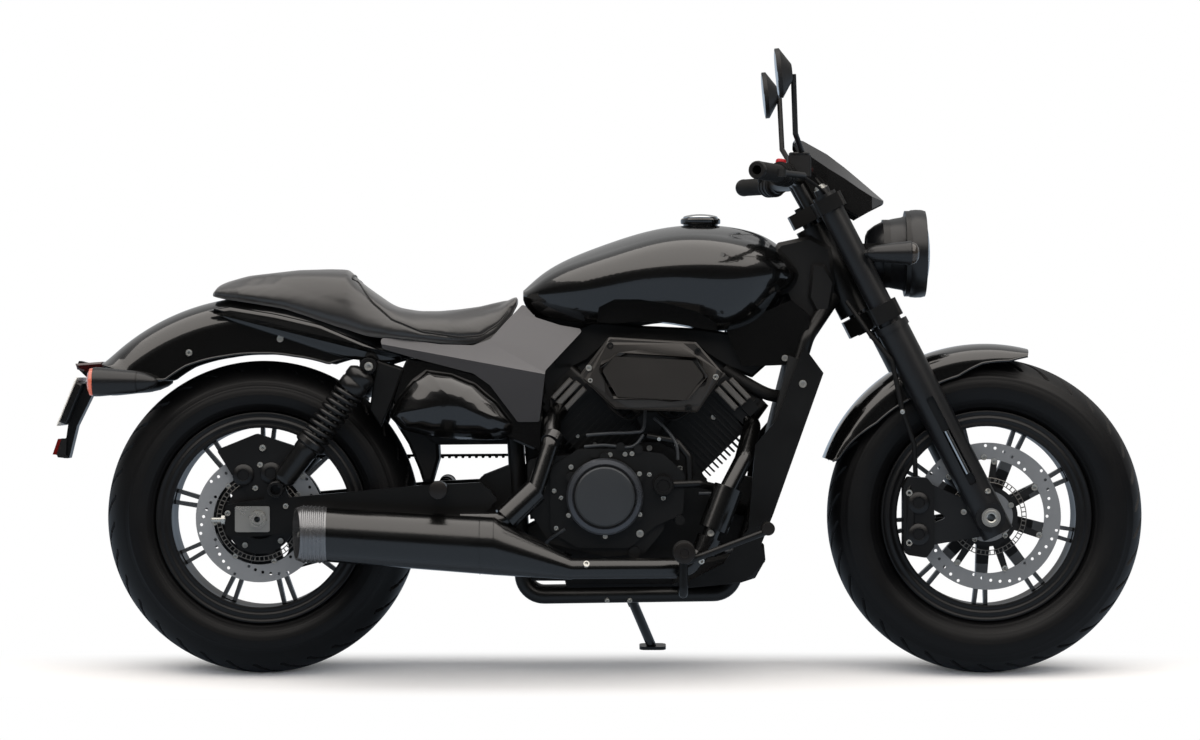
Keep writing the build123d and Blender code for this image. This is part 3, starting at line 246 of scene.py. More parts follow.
def finish(name, colour, rough, metal=0.0, grain_mm=1.0, bump_mm=0.02, mottle=0.15, coat=0.0, sheen=0.0,
           specular=0.5, stretch=(1, 1, 1), glow=0.0):
    """A material whose colour, roughness and height vary with a grain of a real size."""
    material = bpy.data.materials.new(name)
    material.use_nodes = True
    tree = material.node_tree
    shader = tree.nodes["Principled BSDF"]
    coords = add(tree, "ShaderNodeTexCoord")
    spread = add(tree, "ShaderNodeMapping", None, Vector=coords.outputs["Object"], Scale=stretch)
    grain = add(tree, "ShaderNodeTexNoise", None, Vector=spread.outputs[0],
                Scale=500.0 / grain_mm, Detail=3.0)
    cloud = add(tree, "ShaderNodeTexNoise", None, Vector=coords.outputs["Object"],
                Scale=cloud_scale, Detail=4.0)
    dark = [v * (1 - mottle) for v in linear(colour)[:3]] + [1.0]
    light = [min(1.0, v * (1 + mottle)) for v in linear(colour)[:3]] + [1.0]
    tint = add(tree, "ShaderNodeMix", {"data_type": "RGBA"}, i0=cloud.outputs[0], i6=dark, i7=light)
    tree.links.new(tint.outputs[2], shader.inputs["Base Color"])
    gloss = add(tree, "ShaderNodeMapRange", None, i0=cloud.outputs[0], i1=0.3, i2=0.7,
                i3=max(0.02, rough * gloss_low), i4=min(1.0, rough * gloss_high))
    tree.links.new(gloss.outputs[0], shader.inputs["Roughness"])
    bump = add(tree, "ShaderNodeBump", None, Height=grain.outputs[0], Strength=bump_strength,
               Distance=bump_mm / 1000)
    tree.links.new(bump.outputs[0], shader.inputs["Normal"])
    for label, value in (("Metallic", metal), ("Specular IOR Level", specular), ("Coat Weight", coat),
                         ("Coat Roughness", coat_rough), ("Sheen Weight", sheen)):
        shader.inputs[label].default_value = value
    # A glow is painted light: the colour shines by itself, with no lamp inside the part.
    if glow:
        shader.inputs["Emission Color"].default_value = linear(colour)
        shader.inputs["Emission Strength"].default_value = glow
    return material


# %% [markdown]
# Now the finishes themselves. The first list belongs to the construction's own slots. The second, `extra`, is
# for the small pieces added further down.

# %% The finishes of this machine
finishes = {
    # Sprayed enamel under clear lacquer: deep black, sharp reflections.
    "gloss_black": finish("black enamel, sprayed and lacquered", "#070707", 0.2, grain_mm=12, bump_mm=0.01,
                          coat=1.0, specular=0.35),
    # Metallic base coat under satin lacquer: a dark grey.
    "satin_graphite": finish("graphite metallic paint, satin lacquer", "#4E4E50", 0.25, metal=0.66,
                             grain_mm=0.8, bump_mm=0.008, mottle=0.06, coat=0.15),
    # Powder coat on steel tube: satin, with fine pips.
    "black_frame": finish("black powder coat on steel", "#080808", 0.34, grain_mm=1.4, bump_mm=0.02,
                          specular=0.4),
    "fork_black": finish("black enamel on turned alloy", "#0D0E10", 0.36, grain_mm=2.0, bump_mm=0.01,
                         specular=0.5),
    # Engine enamel on castings: dull, with the sand's grain.
    "engine_black": finish("black enamel on sand-cast aluminium", "#080808", 0.4, grain_mm=1.6, bump_mm=0.05,
                           specular=0.4),
    "cleaner_black": finish("satin black paint on pressed steel", "#2E2C2A", 0.32, metal=0.35, grain_mm=1.5,
                            bump_mm=0.01),
    "cast_black": finish("black enamel on cast alloy", "#0A0A0B", 0.36, grain_mm=1.6, bump_mm=0.03,
                         specular=0.4),
    "black_plastic": finish("black polyamide, moulded", "#0C0C0C", 0.5, grain_mm=0.9, bump_mm=0.03,
                            specular=0.4),
    "disc_steel": finish("stainless steel, ground", "#85888B", 0.38, metal=0.55, grain_mm=0.8, bump_mm=0.01,
                         mottle=0.05),
    "caliper_black": finish("black anodised aluminium", "#0C0C0D", 0.36, metal=0.2, grain_mm=0.8,
                            bump_mm=0.02),
    "axle_steel": finish("zinc plated steel, turned", "#A6A6A3", 0.3, metal=0.75, grain_mm=0.7, bump_mm=0.01),
    "exhaust_black": finish("black heatproof enamel, sprayed", "#050505", 0.2, grain_mm=1.8, bump_mm=0.004,
                            specular=0.75),
    "tip_steel": finish("stainless steel, brushed", "#808183", 0.27, metal=0.85, grain_mm=0.6, bump_mm=0.006,
                        mottle=0.05, stretch=(1, 0.08, 0.08)),
    "core_black": finish("black paint on radiator fins", "#080808", 0.6, grain_mm=2, bump_mm=0.05),
    "shock_black": finish("black epoxy paint on spring steel", "#0B0B0B", 0.3, grain_mm=1.5, bump_mm=0.02),
    # Vulcanised rubber: dull, with a faint grey bloom.
    "tyre_rubber": finish("tyre rubber, vulcanised", "#060607", 0.46, grain_mm=1.2, bump_mm=0.03, mottle=0.2,
                          specular=0.28),
    "grip_rubber": finish("grip rubber, moulded", "#0C0C0C", 0.6, grain_mm=0.8, bump_mm=0.04, specular=0.3),
    "belt_rubber": finish("fibre belted rubber, moulded", "#0B0B0B", 0.6, grain_mm=1.0, bump_mm=0.04,
                          specular=0.3),
    "pulley_alloy": finish("aluminium alloy, machined and anodised", "#2A2B2C", 0.36, metal=0.7, grain_mm=0.8,
                           bump_mm=0.01),
    # Vinyl pressed with a leather grain: soft sheen on its crown.
    "seat_vinyl": finish("black vinyl, embossed leather grain", "#0E0E0F", 0.33, grain_mm=1.8, bump_mm=0.05,
                         sheen=0.3, specular=0.8),
    "lamp_glass": finish("clear lamp glass, pressed", "#F2F5F7", 0.04, grain_mm=14, bump_mm=0.02,
                         mottle=0.02),
    "red_lens": finish("red acrylic, moulded", "#5A0D0A", 0.12, grain_mm=2, bump_mm=0.02, coat=0.6),
    "plate_alloy": finish("white painted aluminium sheet", "#D8D8D4", 0.35, grain_mm=1.5, bump_mm=0.01,
                          mottle=0.03),
}
finishes["lamp_glass"].node_tree.nodes["Principled BSDF"].inputs["Transmission Weight"].default_value = 0.95
extra = {
    "bolt": finish("zinc plated steel, cold headed", "#B9B9B4", 0.28, metal=0.8, grain_mm=0.6, bump_mm=0.01),
    "black_bolt": finish("black oxide steel, cold headed", "#171717", 0.34, metal=0.5, grain_mm=0.6,
                         bump_mm=0.01),
    "chrome": finish("hard chrome on ground steel", "#C9CBCC", 0.12, metal=1.0, grain_mm=1.0, bump_mm=0.004),
    "mirror": finish("silvered mirror glass", "#E4E8EA", 0.03, metal=1.0, grain_mm=30, bump_mm=0.002,
                     mottle=0.01),
    # The rear signal lenses shine faintly by themselves: a painted glow, as if light came through them.
    "amber_painted_glow": finish("pale red acrylic, moulded, with a painted glow", "#B9604C", 0.14, grain_mm=2, bump_mm=0.02,
                    coat=0.6, glow=0.2),
    "seam": finish("black bonded thread and piping", "#060606", 0.7, grain_mm=0.8, bump_mm=0.05, sheen=0.2),
    "grey_cover": finish("grey enamel on machined aluminium", "#34373A", 0.38, metal=0.4, grain_mm=1.0,
                         bump_mm=0.01, mottle=0.06),
    "peg_metal": finish("aluminium forging, black anodised", "#262423", 0.34, metal=0.6, grain_mm=1.0,
                        bump_mm=0.02),
    "clutch_metal": finish("aluminium casting, grey lacquer", "#4A4D52", 0.3, metal=0.7, grain_mm=1.0,
                           bump_mm=0.01),
    "bare_casting": finish("aluminium casting, bead blasted", "#6C6A67", 0.38, metal=0.6, grain_mm=1.0,
                           bump_mm=0.04),
    "red_button": finish("red polyamide, moulded", "#B0101C", 0.35, grain_mm=1.0, bump_mm=0.01),
    "dial": finish("printed dial under glass", "#15181B", 0.12, grain_mm=8, bump_mm=0.004, coat=1.0),
}
print("finishes", len(finishes) + len(extra))

# %% [markdown]
# A wheel or a disc is often finished in rings: machined here, painted there. `ring_finish` changes a finish
# between two radii about an axle, so one solid can carry both. The distance is taken from the axle's own
# line.

# %% Rings of another finish
across_bike = leaning((0, 1, 0)).normalized()


def ring_finish(material, middle_mm, from_mm, to_mm, colour, rough, metal, axle=across_bike):
    """Changes a finish between two radii about an axle through an upright point."""
    tree = material.node_tree
    shader = tree.nodes["Principled BSDF"]
    coords = add(tree, "ShaderNodeTexCoord")
    spoke = add(tree, "ShaderNodeVectorMath", {"operation": "SUBTRACT"}, i0=coords.outputs["Object"],
                i1=parked(*middle_mm))
    along = add(tree, "ShaderNodeVectorMath", {"operation": "PROJECT"}, i0=spoke.outputs[0], i1=axle)
    radial = add(tree, "ShaderNodeVectorMath", {"operation": "SUBTRACT"}, i0=spoke.outputs[0],
                 i1=along.outputs[0])
    radius = add(tree, "ShaderNodeVectorMath", {"operation": "LENGTH"}, i0=radial.outputs[0])
    mask = maths(tree, "COMPARE", radius.outputs["Value"], (from_mm + to_mm) / 2000, (to_mm - from_mm) / 2000)
    for name, value, kind, slots in (("Base Color", linear(colour), "RGBA", (6, 7, 2)),
                                     ("Roughness", rough, "FLOAT", (2, 3, 0)),
                                     ("Metallic", metal, "FLOAT", (2, 3, 0))):
        socket = shader.inputs[name]
        was = socket.links[0].from_socket if socket.is_linked else socket.default_value
        mix = add(tree, "ShaderNodeMix", {"data_type": kind}, i0=mask)
        if isinstance(was, bpy.types.NodeSocket):
            tree.links.new(was, mix.inputs[slots[0]])
        else:
            mix.inputs[slots[0]].default_value = was
        mix.inputs[slots[1]].default_value = value
        tree.links.new(mix.outputs[slots[2]], socket)
    return material


own_finish = {}
bare_from_mm, bare_to_mm, bare_look = 100, 182, ("#5E6164", 0.36, 0.55)
carrier_look = ("#0C0C0D", 0.4, 0.0)
for name, middle in (("front_rim", front_axle_mm), ("rear_rim", rear_axle_mm)):
    rim_paint = finish("black enamel, spokes machined bare: " + name[:5], "#0A0A0B", 0.36, grain_mm=1.6,
                       bump_mm=0.03)
    own_finish[name] = ring_finish(rim_paint, middle, bare_from_mm, bare_to_mm, *bare_look)
# The rear disc's steel is painted a shade lighter than the front's, as painted light that offsets the shade
# the silencer casts on it.
for name, middle, ring_mm, hub_mm, colour in (("front_disc", front_axle_mm, 115.5, 52, "#85888B"),
                                              ("rear_disc", rear_axle_mm, 93.5, 40, "#8E9194")):
    steel = finish("stainless steel, ground, on a black carrier: " + name[:5], colour, 0.38, metal=0.55,
                   grain_mm=0.8, bump_mm=0.01, mottle=0.05)
    own_finish[name] = ring_finish(steel, middle, hub_mm, ring_mm, *carrier_look)
# The screen's own smoked grey is lifted a little above the black paint as a painted reflection on its facets.
own_finish["fly_screen"] = finish("smoked polycarbonate, moulded", "#121212", 0.1, grain_mm=12, bump_mm=0.004,
                                  coat=1.0, specular=0.6)
print("own finishes", list(own_finish))

# %% [markdown]
# Every construction piece now gets its finish. Their meshes are loose triangles, so two modifiers ride on
# each: Weld joins the points that touch, and Edge Split keeps folds sharper than thirty degrees sharp. The
# side panels have a shallow crease along them, so there the limit is seventeen. The mesh underneath stays as
# it was imported.

# %% Dress the construction
slot_of = {part["node"]: part["material_slot"] for part in frame["record"]["subparts"]}
for name, node in nodes.items():
    node.data.materials.clear()
    node.data.materials.append(own_finish.get(name, finishes[slot_of[name]]))
    node.data.polygons.foreach_set("use_smooth", [True] * len(node.data.polygons))
    node.modifiers.new("weld", "WELD").merge_threshold = 1e-5
    node.modifiers.new("folds", "EDGE_SPLIT").split_angle = math.radians(17 if name == "side_panels" else 30)
print("finishes given to", len(slot_of), "construction pieces")

# %% [markdown]
# Small helpers for the pieces that are added. `make` turns points and faces, given upright in millimetres,
# into a parked mesh with its faces outward, and gives it a finish and the body that carries it.

# %% Make a piece
body_of_node = {name: body for body, members in frame["record"]["behaviour"]["bodies"].items()
                for name in members}


def dress(piece, material, body, slot_name, smooth=40):
    """Shades a piece, and gives it its finish and its body; slot_name is not used."""
    piece.data.materials.clear()
    piece.data.materials.append(material)
    piece.data.polygons.foreach_set("use_smooth", [True] * len(piece.data.polygons))
    piece.data.set_sharp_from_angle(angle=math.radians(smooth))
    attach(piece, body)
    return piece


def solid_mesh(name, points, faces, upright=True):
    """A mesh from points in millimetres, merged, with outward faces."""
    mesh = bpy.data.meshes.new(name)
    place = parked if upright else lambda x, y, z: Vector((x, y, z))
    mesh.from_pydata([place(*p) for p in points], [], faces)
    form = bmesh.new()
    form.from_mesh(mesh)
    bmesh.ops.remove_doubles(form, verts=form.verts, dist=1e-6)
    bmesh.ops.recalc_face_normals(form, faces=form.faces)
    form.to_mesh(mesh)
    form.free()
    return mesh


def make(name, points, faces, material, body, slot_name, smooth=40):
    """A new piece from upright points."""
    return dress(new_object(name, solid_mesh(name, points, faces)), material, body, slot_name, smooth)


def strips(rows, count):
    """Faces between rows of points, where each row closes on itself."""
    return [(i * count + s, i * count + (s + 1) % count, (i + 1) * count + (s + 1) % count,
             (i + 1) * count + s) for i in range(rows - 1) for s in range(count)]


def end_strips(rows, count):
    """Faces that close both ends of a sheet whose rows run out over it and back under it."""
    return [(row * count + s, row * count + s + 1, row * count + count - 2 - s, row * count + count - 1 - s)
            for row in (0, rows - 1) for s in range(count // 2 - 1)]


def turned(profile, segments, place=lambda r, h, a: (r * math.cos(a), r * math.sin(a), h)):
    """Points and faces of a profile of (radius, height) turned about an axis."""
    points = [place(r, h, 2 * math.pi * s / segments) for r, h in profile for s in range(segments)]
    return points, strips(len(profile), segments)


def about_axle(middle, side=-1):
    """Places a turned profile on an axle; its height then points outward on one side."""
    return lambda r, h, a: (middle[0] + r * math.cos(a), middle[1] + side * h, middle[2] + r * math.sin(a))


def joined(*parts):
    """Several lots of points and faces as one."""
    points, faces = [], []
    for part_points, part_faces in parts:
        faces += [tuple(i + len(points) for i in face) for face in part_faces]
        points += part_points
    return points, faces


# %% [markdown]
# Screws and buttons must sit on real surfaces. A ray is sent from beside the machine towards a construction
# piece, and where it lands gives the seat of the screw and the way the surface faces.

# %% Find a surface
shells = {}
least_facing = 0.2  # a ray that only grazes a surface doesn't count


def shell(name):
    """The search tree of a construction piece."""
    if name not in shells:
        mesh = nodes[name].data
        shells[name] = BVHTree.FromPolygons([v.co for v in mesh.vertices],
                                            [p.vertices[:] for p in mesh.polygons])
    return shells[name]


def landing(name, start, towards):
    """Where a ray from an upright point first meets a piece: its place and facing in the scene."""
    way = leaning(Vector(towards).normalized())
    place, facing, _, _ = shell(name).ray_cast(parked(*start), way)
    return (place, facing) if place is not None and facing.dot(way) < -least_facing else None


# %% [markdown]
# One Geometry Nodes tree sets copies of a small mesh at points. Each point carries where the copy faces and
# how large it is. The tree ends by making the copies real and giving them their finish. The result is kept as
# a plain mesh and the modifier goes.

# %% Copies at points
def start_tree(name, inputs, output):
    """A Geometry Nodes tree with its sockets, and what its input node gives."""
    tree = bpy.data.node_groups.new(name, "GeometryNodeTree")
    for label, kind in inputs.items():
        tree.interface.new_socket(label, in_out="INPUT", socket_type="NodeSocket" + kind)
    tree.interface.new_socket(output, in_out="OUTPUT", socket_type="NodeSocketGeometry")
    return tree, add(tree, "NodeGroupInput").outputs


def end_tree(tree, shape, material):
    """Makes copies real, gives the shape its finish and sends it out of the tree."""
    real = add(tree, "GeometryNodeRealizeInstances", None, Geometry=shape)
    done = add(tree, "GeometryNodeSetMaterial", None, Geometry=real.outputs[0], Material=material)
    add(tree, "NodeGroupOutput", None, i0=done.outputs[0])
    return tree


def attribute(tree, name, kind="FLOAT"):
    """What each point carries under a name."""
    return add(tree, "GeometryNodeInputNamedAttribute", {"data_type": kind}, Name=name).outputs["Attribute"]


def copies_tree():
    """A tree that puts a copy on each point, faced along `aim` and sized by `grow`."""
    sockets = {"Points": "Geometry", "Copy": "Object", "Finish": "Material", "Size": "Float"}
    tree, given = start_tree("copies at points", sockets, "Copies")
    source = add(tree, "GeometryNodeObjectInfo", None, Object=given["Copy"])
    faced = add(tree, "FunctionNodeAlignRotationToVector", {"axis": "Z"},
                Vector=attribute(tree, "aim", "FLOAT_VECTOR"))
    rolled = add(tree, "FunctionNodeAlignRotationToVector", {"axis": "X", "pivot_axis": "Z"},
                 Rotation=faced.outputs[0], Vector=attribute(tree, "roll", "FLOAT_VECTOR"))
    size = maths(tree, "MULTIPLY", attribute(tree, "grow"), given["Size"])
    spread = add(tree, "GeometryNodeInstanceOnPoints", None, Points=given["Points"],
                 Instance=source.outputs["Geometry"], Rotation=rolled.outputs[0], Scale=size)
    return end_tree(tree, spread.outputs[0], given["Finish"])


copies = copies_tree()


def set_input(modifier, name, value):
    """Sets a modifier's input by the identifier of its socket."""
    sockets = modifier.node_group.interface.items_tree
    modifier[next(s.identifier for s in sockets if s.name == name and s.in_out == "INPUT")] = value


def baked(piece, name):
    """The evaluated shape of a piece as a plain new piece; the old one is removed."""
    bpy.context.view_layer.update()
    graph = bpy.context.evaluated_depsgraph_get()
    mesh = bpy.data.meshes.new_from_object(piece.evaluated_get(graph))
    mesh.name = name
    bpy.data.objects.remove(piece)
    return new_object(name, mesh)


def through_tree(piece, tree, name, **values):
    """A piece sent through a tree with its inputs set, kept as a plain new piece."""
    modifier = piece.modifiers.new(tree.name, "NODES")
    modifier.node_group = tree
    for label, value in values.items():
        set_input(modifier, label.replace("_", " "), value)
    return baked(piece, name)


def scatter(name, copy_mesh, spots, material, body, slot_name, size=1.0, smooth=40):
    """Copies of a mesh at spots of (scene place, facing, roll, grow)."""
    points = bpy.data.meshes.new(name + "_points")
    points.from_pydata([spot[0] for spot in spots], [], [])
    for label, column in (("aim", 1), ("roll", 2)):
        layer = points.attributes.new(label, "FLOAT_VECTOR", "POINT")
        layer.data.foreach_set("vector", [v for spot in spots for v in spot[column]])
    points.attributes.new("grow", "FLOAT", "POINT").data.foreach_set("value", [spot[3] for spot in spots])
    pattern = new_object(name + "_copy", copy_mesh)
    piece = through_tree(new_object(name + "_points", points), copies, name, Copy=pattern,
                         Finish=material, Size=size)
    bpy.data.objects.remove(pattern)
    return dress(piece, material, body, slot_name, smooth)


print("tools ready")

# %% [markdown]
# The seat is one foam pad under tight vinyl. It starts as a lofted form from three lines: its crown, its
# underside and its half width. Then it is blown up a little, as foam fills a cover: the form is remeshed in
# even six millimetre cells and Blender's Cloth presses it outward from inside with no gravity. Each point may
# move only a few millimetres, and none near the underside, which is flat on its pan.

# %% Seat form
crown_line = [(-842, 776), (-831, 795), (-769, 808), (-666, 820), (-600, 822), (-563, 821), (-543, 797),
              (-522, 781), (-502, 767), (-481, 752), (-461, 743), (-420, 736), (-378, 736), (-337, 740),
              (-296, 746), (-255, 758), (-235, 773), (-218, 772)]
under_line = [(-842, 771), (-821, 766), (-691, 742), (-593, 708), (-524, 688), (-453, 681), (-360, 671),
              (-300, 669), (-268, 683), (-240, 715), (-218, 757)]
half_widths = [(-842, 66), (-780, 102), (-660, 122), (-560, 134), (-450, 146), (-360, 136), (-290, 96),
               (-235, 60), (-218, 54)]


def along(line, x):
    """The value of a line of (x, value) at x."""
    return float(np.interp(x, [p[0] for p in line], [p[1] for p in line]))


seat_back_x, seat_length = -842, 624
waist_height = 0.3  # of the way from the underside to the crown, where the seat is widest
squareness, crown_round, under_round = 0.62, 0.85, 0.5  # powers that square or round the section


def seat_form(stations=64, around=56):
    """Points and faces of the seat before it is blown up."""
    points, faces = [], strips(stations, around)
    for i in range(stations):
        x = seat_back_x + seat_length * i / (stations - 1)
        top, bottom, half_width = along(crown_line, x), along(under_line, x), along(half_widths, x)
        waist = bottom + waist_height * (top - bottom)
        for j in range(around):
            turn = 2 * math.pi * j / around
            c, s = math.cos(turn), math.sin(turn)
            side = math.copysign(abs(c) ** squareness, c)
            rise = s ** crown_round * (top - waist) if s > 0 else -abs(s) ** under_round * (waist - bottom)
            points.append((x, side * half_width, waist + rise))
    for row in (0, stations - 1):
        points.append(tuple(np.mean(points[row * around:(row + 1) * around], axis=0)))
        faces += [(row * around + j, row * around + (j + 1) % around, len(points) - 1) for j in range(around)]
    return points, faces


seat = new_object("seat_pad", solid_mesh("seat_pad", *seat_form()))
remesh = seat.modifiers.new("even cells", "REMESH")
remesh.mode, remesh.voxel_size = "VOXEL", 0.006
seat = baked(seat, "seat_pad")
print("seat cells", len(seat.data.polygons))

# %% [markdown]
# The cover is then smoothed once.

# %% Blow the cover up
most_swell = 0.006
still_mm, free_mm = 12, 40  # near the pan nothing moves, and this much higher everything may
cloth_frames = 20
before = np.array([v.co for v in seat.data.vertices])
cloth = seat.modifiers.new("cover", "CLOTH")
cloth.settings.use_pressure = True
cloth.settings.uniform_pressure_force = 4.0
cloth.settings.effector_weights.gravity = 0.0
cloth.point_cache.frame_start, cloth.point_cache.frame_end = 1, cloth_frames
for frame_number in range(1, cloth_frames + 1):
    scene.frame_set(frame_number)
blown = seat.evaluated_get(bpy.context.evaluated_depsgraph_get()).data
after = np.array([v.co for v in blown.vertices])
seat.modifiers.remove(cloth)
scene.frame_set(1)
moved = after - before
reach = np.linalg.norm(moved, axis=1, keepdims=True)
moved *= np.minimum(1.0, most_swell / np.maximum(reach, 1e-9))
upright = np.array([(park.inverted() @ Vector(p)) * 1000 for p in before])
floor_z = np.interp(upright[:, 0], [p[0] for p in under_line], [p[1] for p in under_line])
free = np.clip((upright[:, 2] - floor_z - still_mm) / free_mm, 0, 1)[:, None]
after = before + moved * free
seat.data.vertices.foreach_set("co", after.ravel())
print("cover moved at most", round(float(np.abs(moved * free).max()) * 1000, 1), "mm")
finer = seat.modifiers.new("finer", "SUBSURF")
finer.levels = finer.render_levels = 1
seat = baked(seat, "seat_pad")

# %% [markdown]
# A sewn seam pulls the cover in. The seam that parts the rider's pad from the rest rises from the flank,
# crosses the crown behind the rider and comes down on the other side. The points near it sink along a smooth
# channel, and a bead of piping lies in the channel.

# %% Seam and piping
flank_seam = [(-552, 818), (-540, 797), (-512, 760), (-470, 724), (-410, 699), (-335, 688), (-292, 691),
              (-252, 718), (-232, 748)]
seat_tree = BVHTree.FromPolygons([v.co for v in seat.data.vertices],
                                 [p.vertices[:] for p in seat.data.polygons])


def seat_spot(start, towards):
    """Where a ray meets the seat's cover."""
    return seat_tree.ray_cast(parked(*start), leaning(towards))[0]


def smooth_line(line, count):
    """A line of (x, z) points resampled evenly along its length."""
    line = np.array(line, float)
    run = np.concatenate([[0], np.cumsum(np.linalg.norm(np.diff(line, axis=0), axis=1))])
    return [tuple(np.interp(s, run, line[:, k]) for k in range(line.shape[1]))
            for s in np.linspace(0, run[-1], count)]


flank = smooth_line(flank_seam, 70)
seam_points = [seat_spot((x, 400, z), (0, -1, 0)) for x, z in reversed(flank)]
seam_points += [seat_spot((-553, y, 900), (0, 0, -1)) for y in range(84, -85, -6)]
seam_points += [seat_spot((x, -400, z), (0, 1, 0)) for x, z in flank]
seam_points = [p for p in seam_points if p is not None]
seam_tree = KDTree(len(seam_points))
for index, point in enumerate(seam_points):
    seam_tree.insert(point, index)
seam_tree.balance()
channel, sink = 0.008, 0.0028
normals = [vertex.normal.copy() for vertex in seat.data.vertices]
for vertex, normal in zip(seat.data.vertices, normals):
    away = seam_tree.find(vertex.co)[2]
    if away < channel:
        vertex.co -= normal * sink * (1 - away / channel) ** 2
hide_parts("seat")
dress(seat, finishes["seat_vinyl"], body_of_node["seat"], "seat_vinyl", 180)

# %% [markdown]
# Piping, pipes, cables and hoops are all lines with a round thickness. A second tree smooths a line and
# sweeps a small circle along it. The first thing it makes is the bead of piping in the seat's seam.

# %% Tubes along a line
def tube_tree():
    """A tree that gives a line of edges a round thickness."""
    sockets = {"Line": "Geometry", "Radius": "Float", "Sides": "Int", "Smooth": "Int", "Finish": "Material"}
    tree, given = start_tree("round tube along a line", sockets, "Tube")
    line = add(tree, "GeometryNodeMeshToCurve", None, Mesh=given["Line"])
    spline = add(tree, "GeometryNodeCurveSplineType", {"spline_type": "CATMULL_ROM"}, Curve=line.outputs[0])
    even = add(tree, "GeometryNodeSetSplineResolution", None, Geometry=spline.outputs[0],
               Resolution=given["Smooth"])
    ring = add(tree, "GeometryNodeCurvePrimitiveCircle", None, Resolution=given["Sides"],
               Radius=given["Radius"])
    tube = add(tree, "GeometryNodeCurveToMesh", None, Curve=even.outputs[0], i1=ring.outputs[0])
    tube.inputs["Fill Caps"].default_value = True
    return end_tree(tree, tube.outputs[0], given["Finish"])


tubes = tube_tree()


def tube(name, lines, radius_mm, material, body, slot_name, sides=10, smooth=6, in_scene=False):
    """Round tubes along lines of points, given upright in millimetres or, in_scene, in metres."""
    points, edges = [], []
    for line in lines:
        edges += [(len(points) + i, len(points) + i + 1) for i in range(len(line) - 1)]
        points += [tuple(p) if in_scene else tuple(parked(*p)) for p in line]
    mesh = bpy.data.meshes.new(name + "_line")
    mesh.from_pydata(points, edges, [])
    piece = through_tree(new_object(name + "_line", mesh), tubes, name, Radius=radius_mm / 1000, Sides=sides,
                         Smooth=smooth, Finish=material)
    return dress(piece, material, body, slot_name, 60)


tube("seat_piping", [seam_points[::3]], 1.7, extra["seam"], body_of_node["seat"], "seat_vinyl", 8, 4,
     in_scene=True)
print("seam points", len(seam_points))

# %% [markdown]
# A tyre is a shape that follows a rule, so a profile is turned about the axle and a Geometry Nodes tree cuts
# the tread: slots that repeat around, lean over and run from the shoulder towards the crown. The profile
# carries the rings that a mould leaves on the wall. Real treads are about six millimetres deep.

# %% Tread tree
def tread_tree():
    """A tree that sinks slots into a turned tyre, from its `turn` and `across` attributes."""
    sockets = {"Tyre": "Geometry", "Slots": "Float", "Lean": "Float", "Width": "Float", "Inner edge": "Float",
               "Outer edge": "Float", "Depth": "Float", "Finish": "Material"}
    tree, given = start_tree("tread slots", sockets, "Cut tyre")
    across = attribute(tree, "across")
    out = maths(tree, "ABSOLUTE", across)
    left_half = maths(tree, "GREATER_THAN", across, 0.0)
    stagger = maths(tree, "MULTIPLY_ADD", left_half, 0.5, maths(tree, "MULTIPLY", out, given["Lean"]))
    saw = maths(tree, "FRACT", maths(tree, "MULTIPLY_ADD", attribute(tree, "turn"), given["Slots"], stagger))
    near = maths(tree, "ABSOLUTE", maths(tree, "SUBTRACT", saw, 0.5))
    slot = maths(tree, "LESS_THAN", near, given["Width"])
    past = maths(tree, "GREATER_THAN", out, given["Inner edge"])
    before = maths(tree, "LESS_THAN", out, given["Outer edge"])
    mask = maths(tree, "MULTIPLY", maths(tree, "MULTIPLY", past, before), slot)
    sunk = maths(tree, "MULTIPLY", maths(tree, "MULTIPLY", mask, given["Depth"]), -1.0)
    outward = add(tree, "GeometryNodeInputNormal").outputs[0]
    shift = add(tree, "ShaderNodeVectorMath", {"operation": "SCALE"}, i0=outward, Scale=sunk).outputs[0]
    cut = add(tree, "GeometryNodeSetPosition", None, Geometry=given["Tyre"], Offset=shift)
    return end_tree(tree, cut.outputs[0], given["Finish"])


def arc_through(a, b, c, count):
    """Points on the circle through three (radius, y) points, from a to c."""
    (ax, ay), (bx, by), (cx, cy) = a, b, c
    d = 2 * (ax * (by - cy) + bx * (cy - ay) + cx * (ay - by))
    aa, bb, cc = ax * ax + ay * ay, bx * bx + by * by, cx * cx + cy * cy
    ux = (aa * (by - cy) + bb * (cy - ay) + cc * (ay - by)) / d
    uy = (aa * (cx - bx) + bb * (ax - cx) + cc * (bx - ax)) / d
    radius = math.hypot(ax - ux, ay - uy)
    first, mid, last = (math.atan2(y - uy, x - ux) for x, y in (a, b, c))
    mid = first + (mid - first + math.pi) % (2 * math.pi) - math.pi
    last = mid + (last - mid + math.pi) % (2 * math.pi) - math.pi
    turns = [first + (last - first) * i / (count - 1) for i in range(count)]
    return [(ux + radius * math.cos(t), uy + radius * math.sin(t)) for t in turns]


tread = tread_tree()
flange_mm, bead_mm, crown_mm = 215.0, 203.3, 95.0
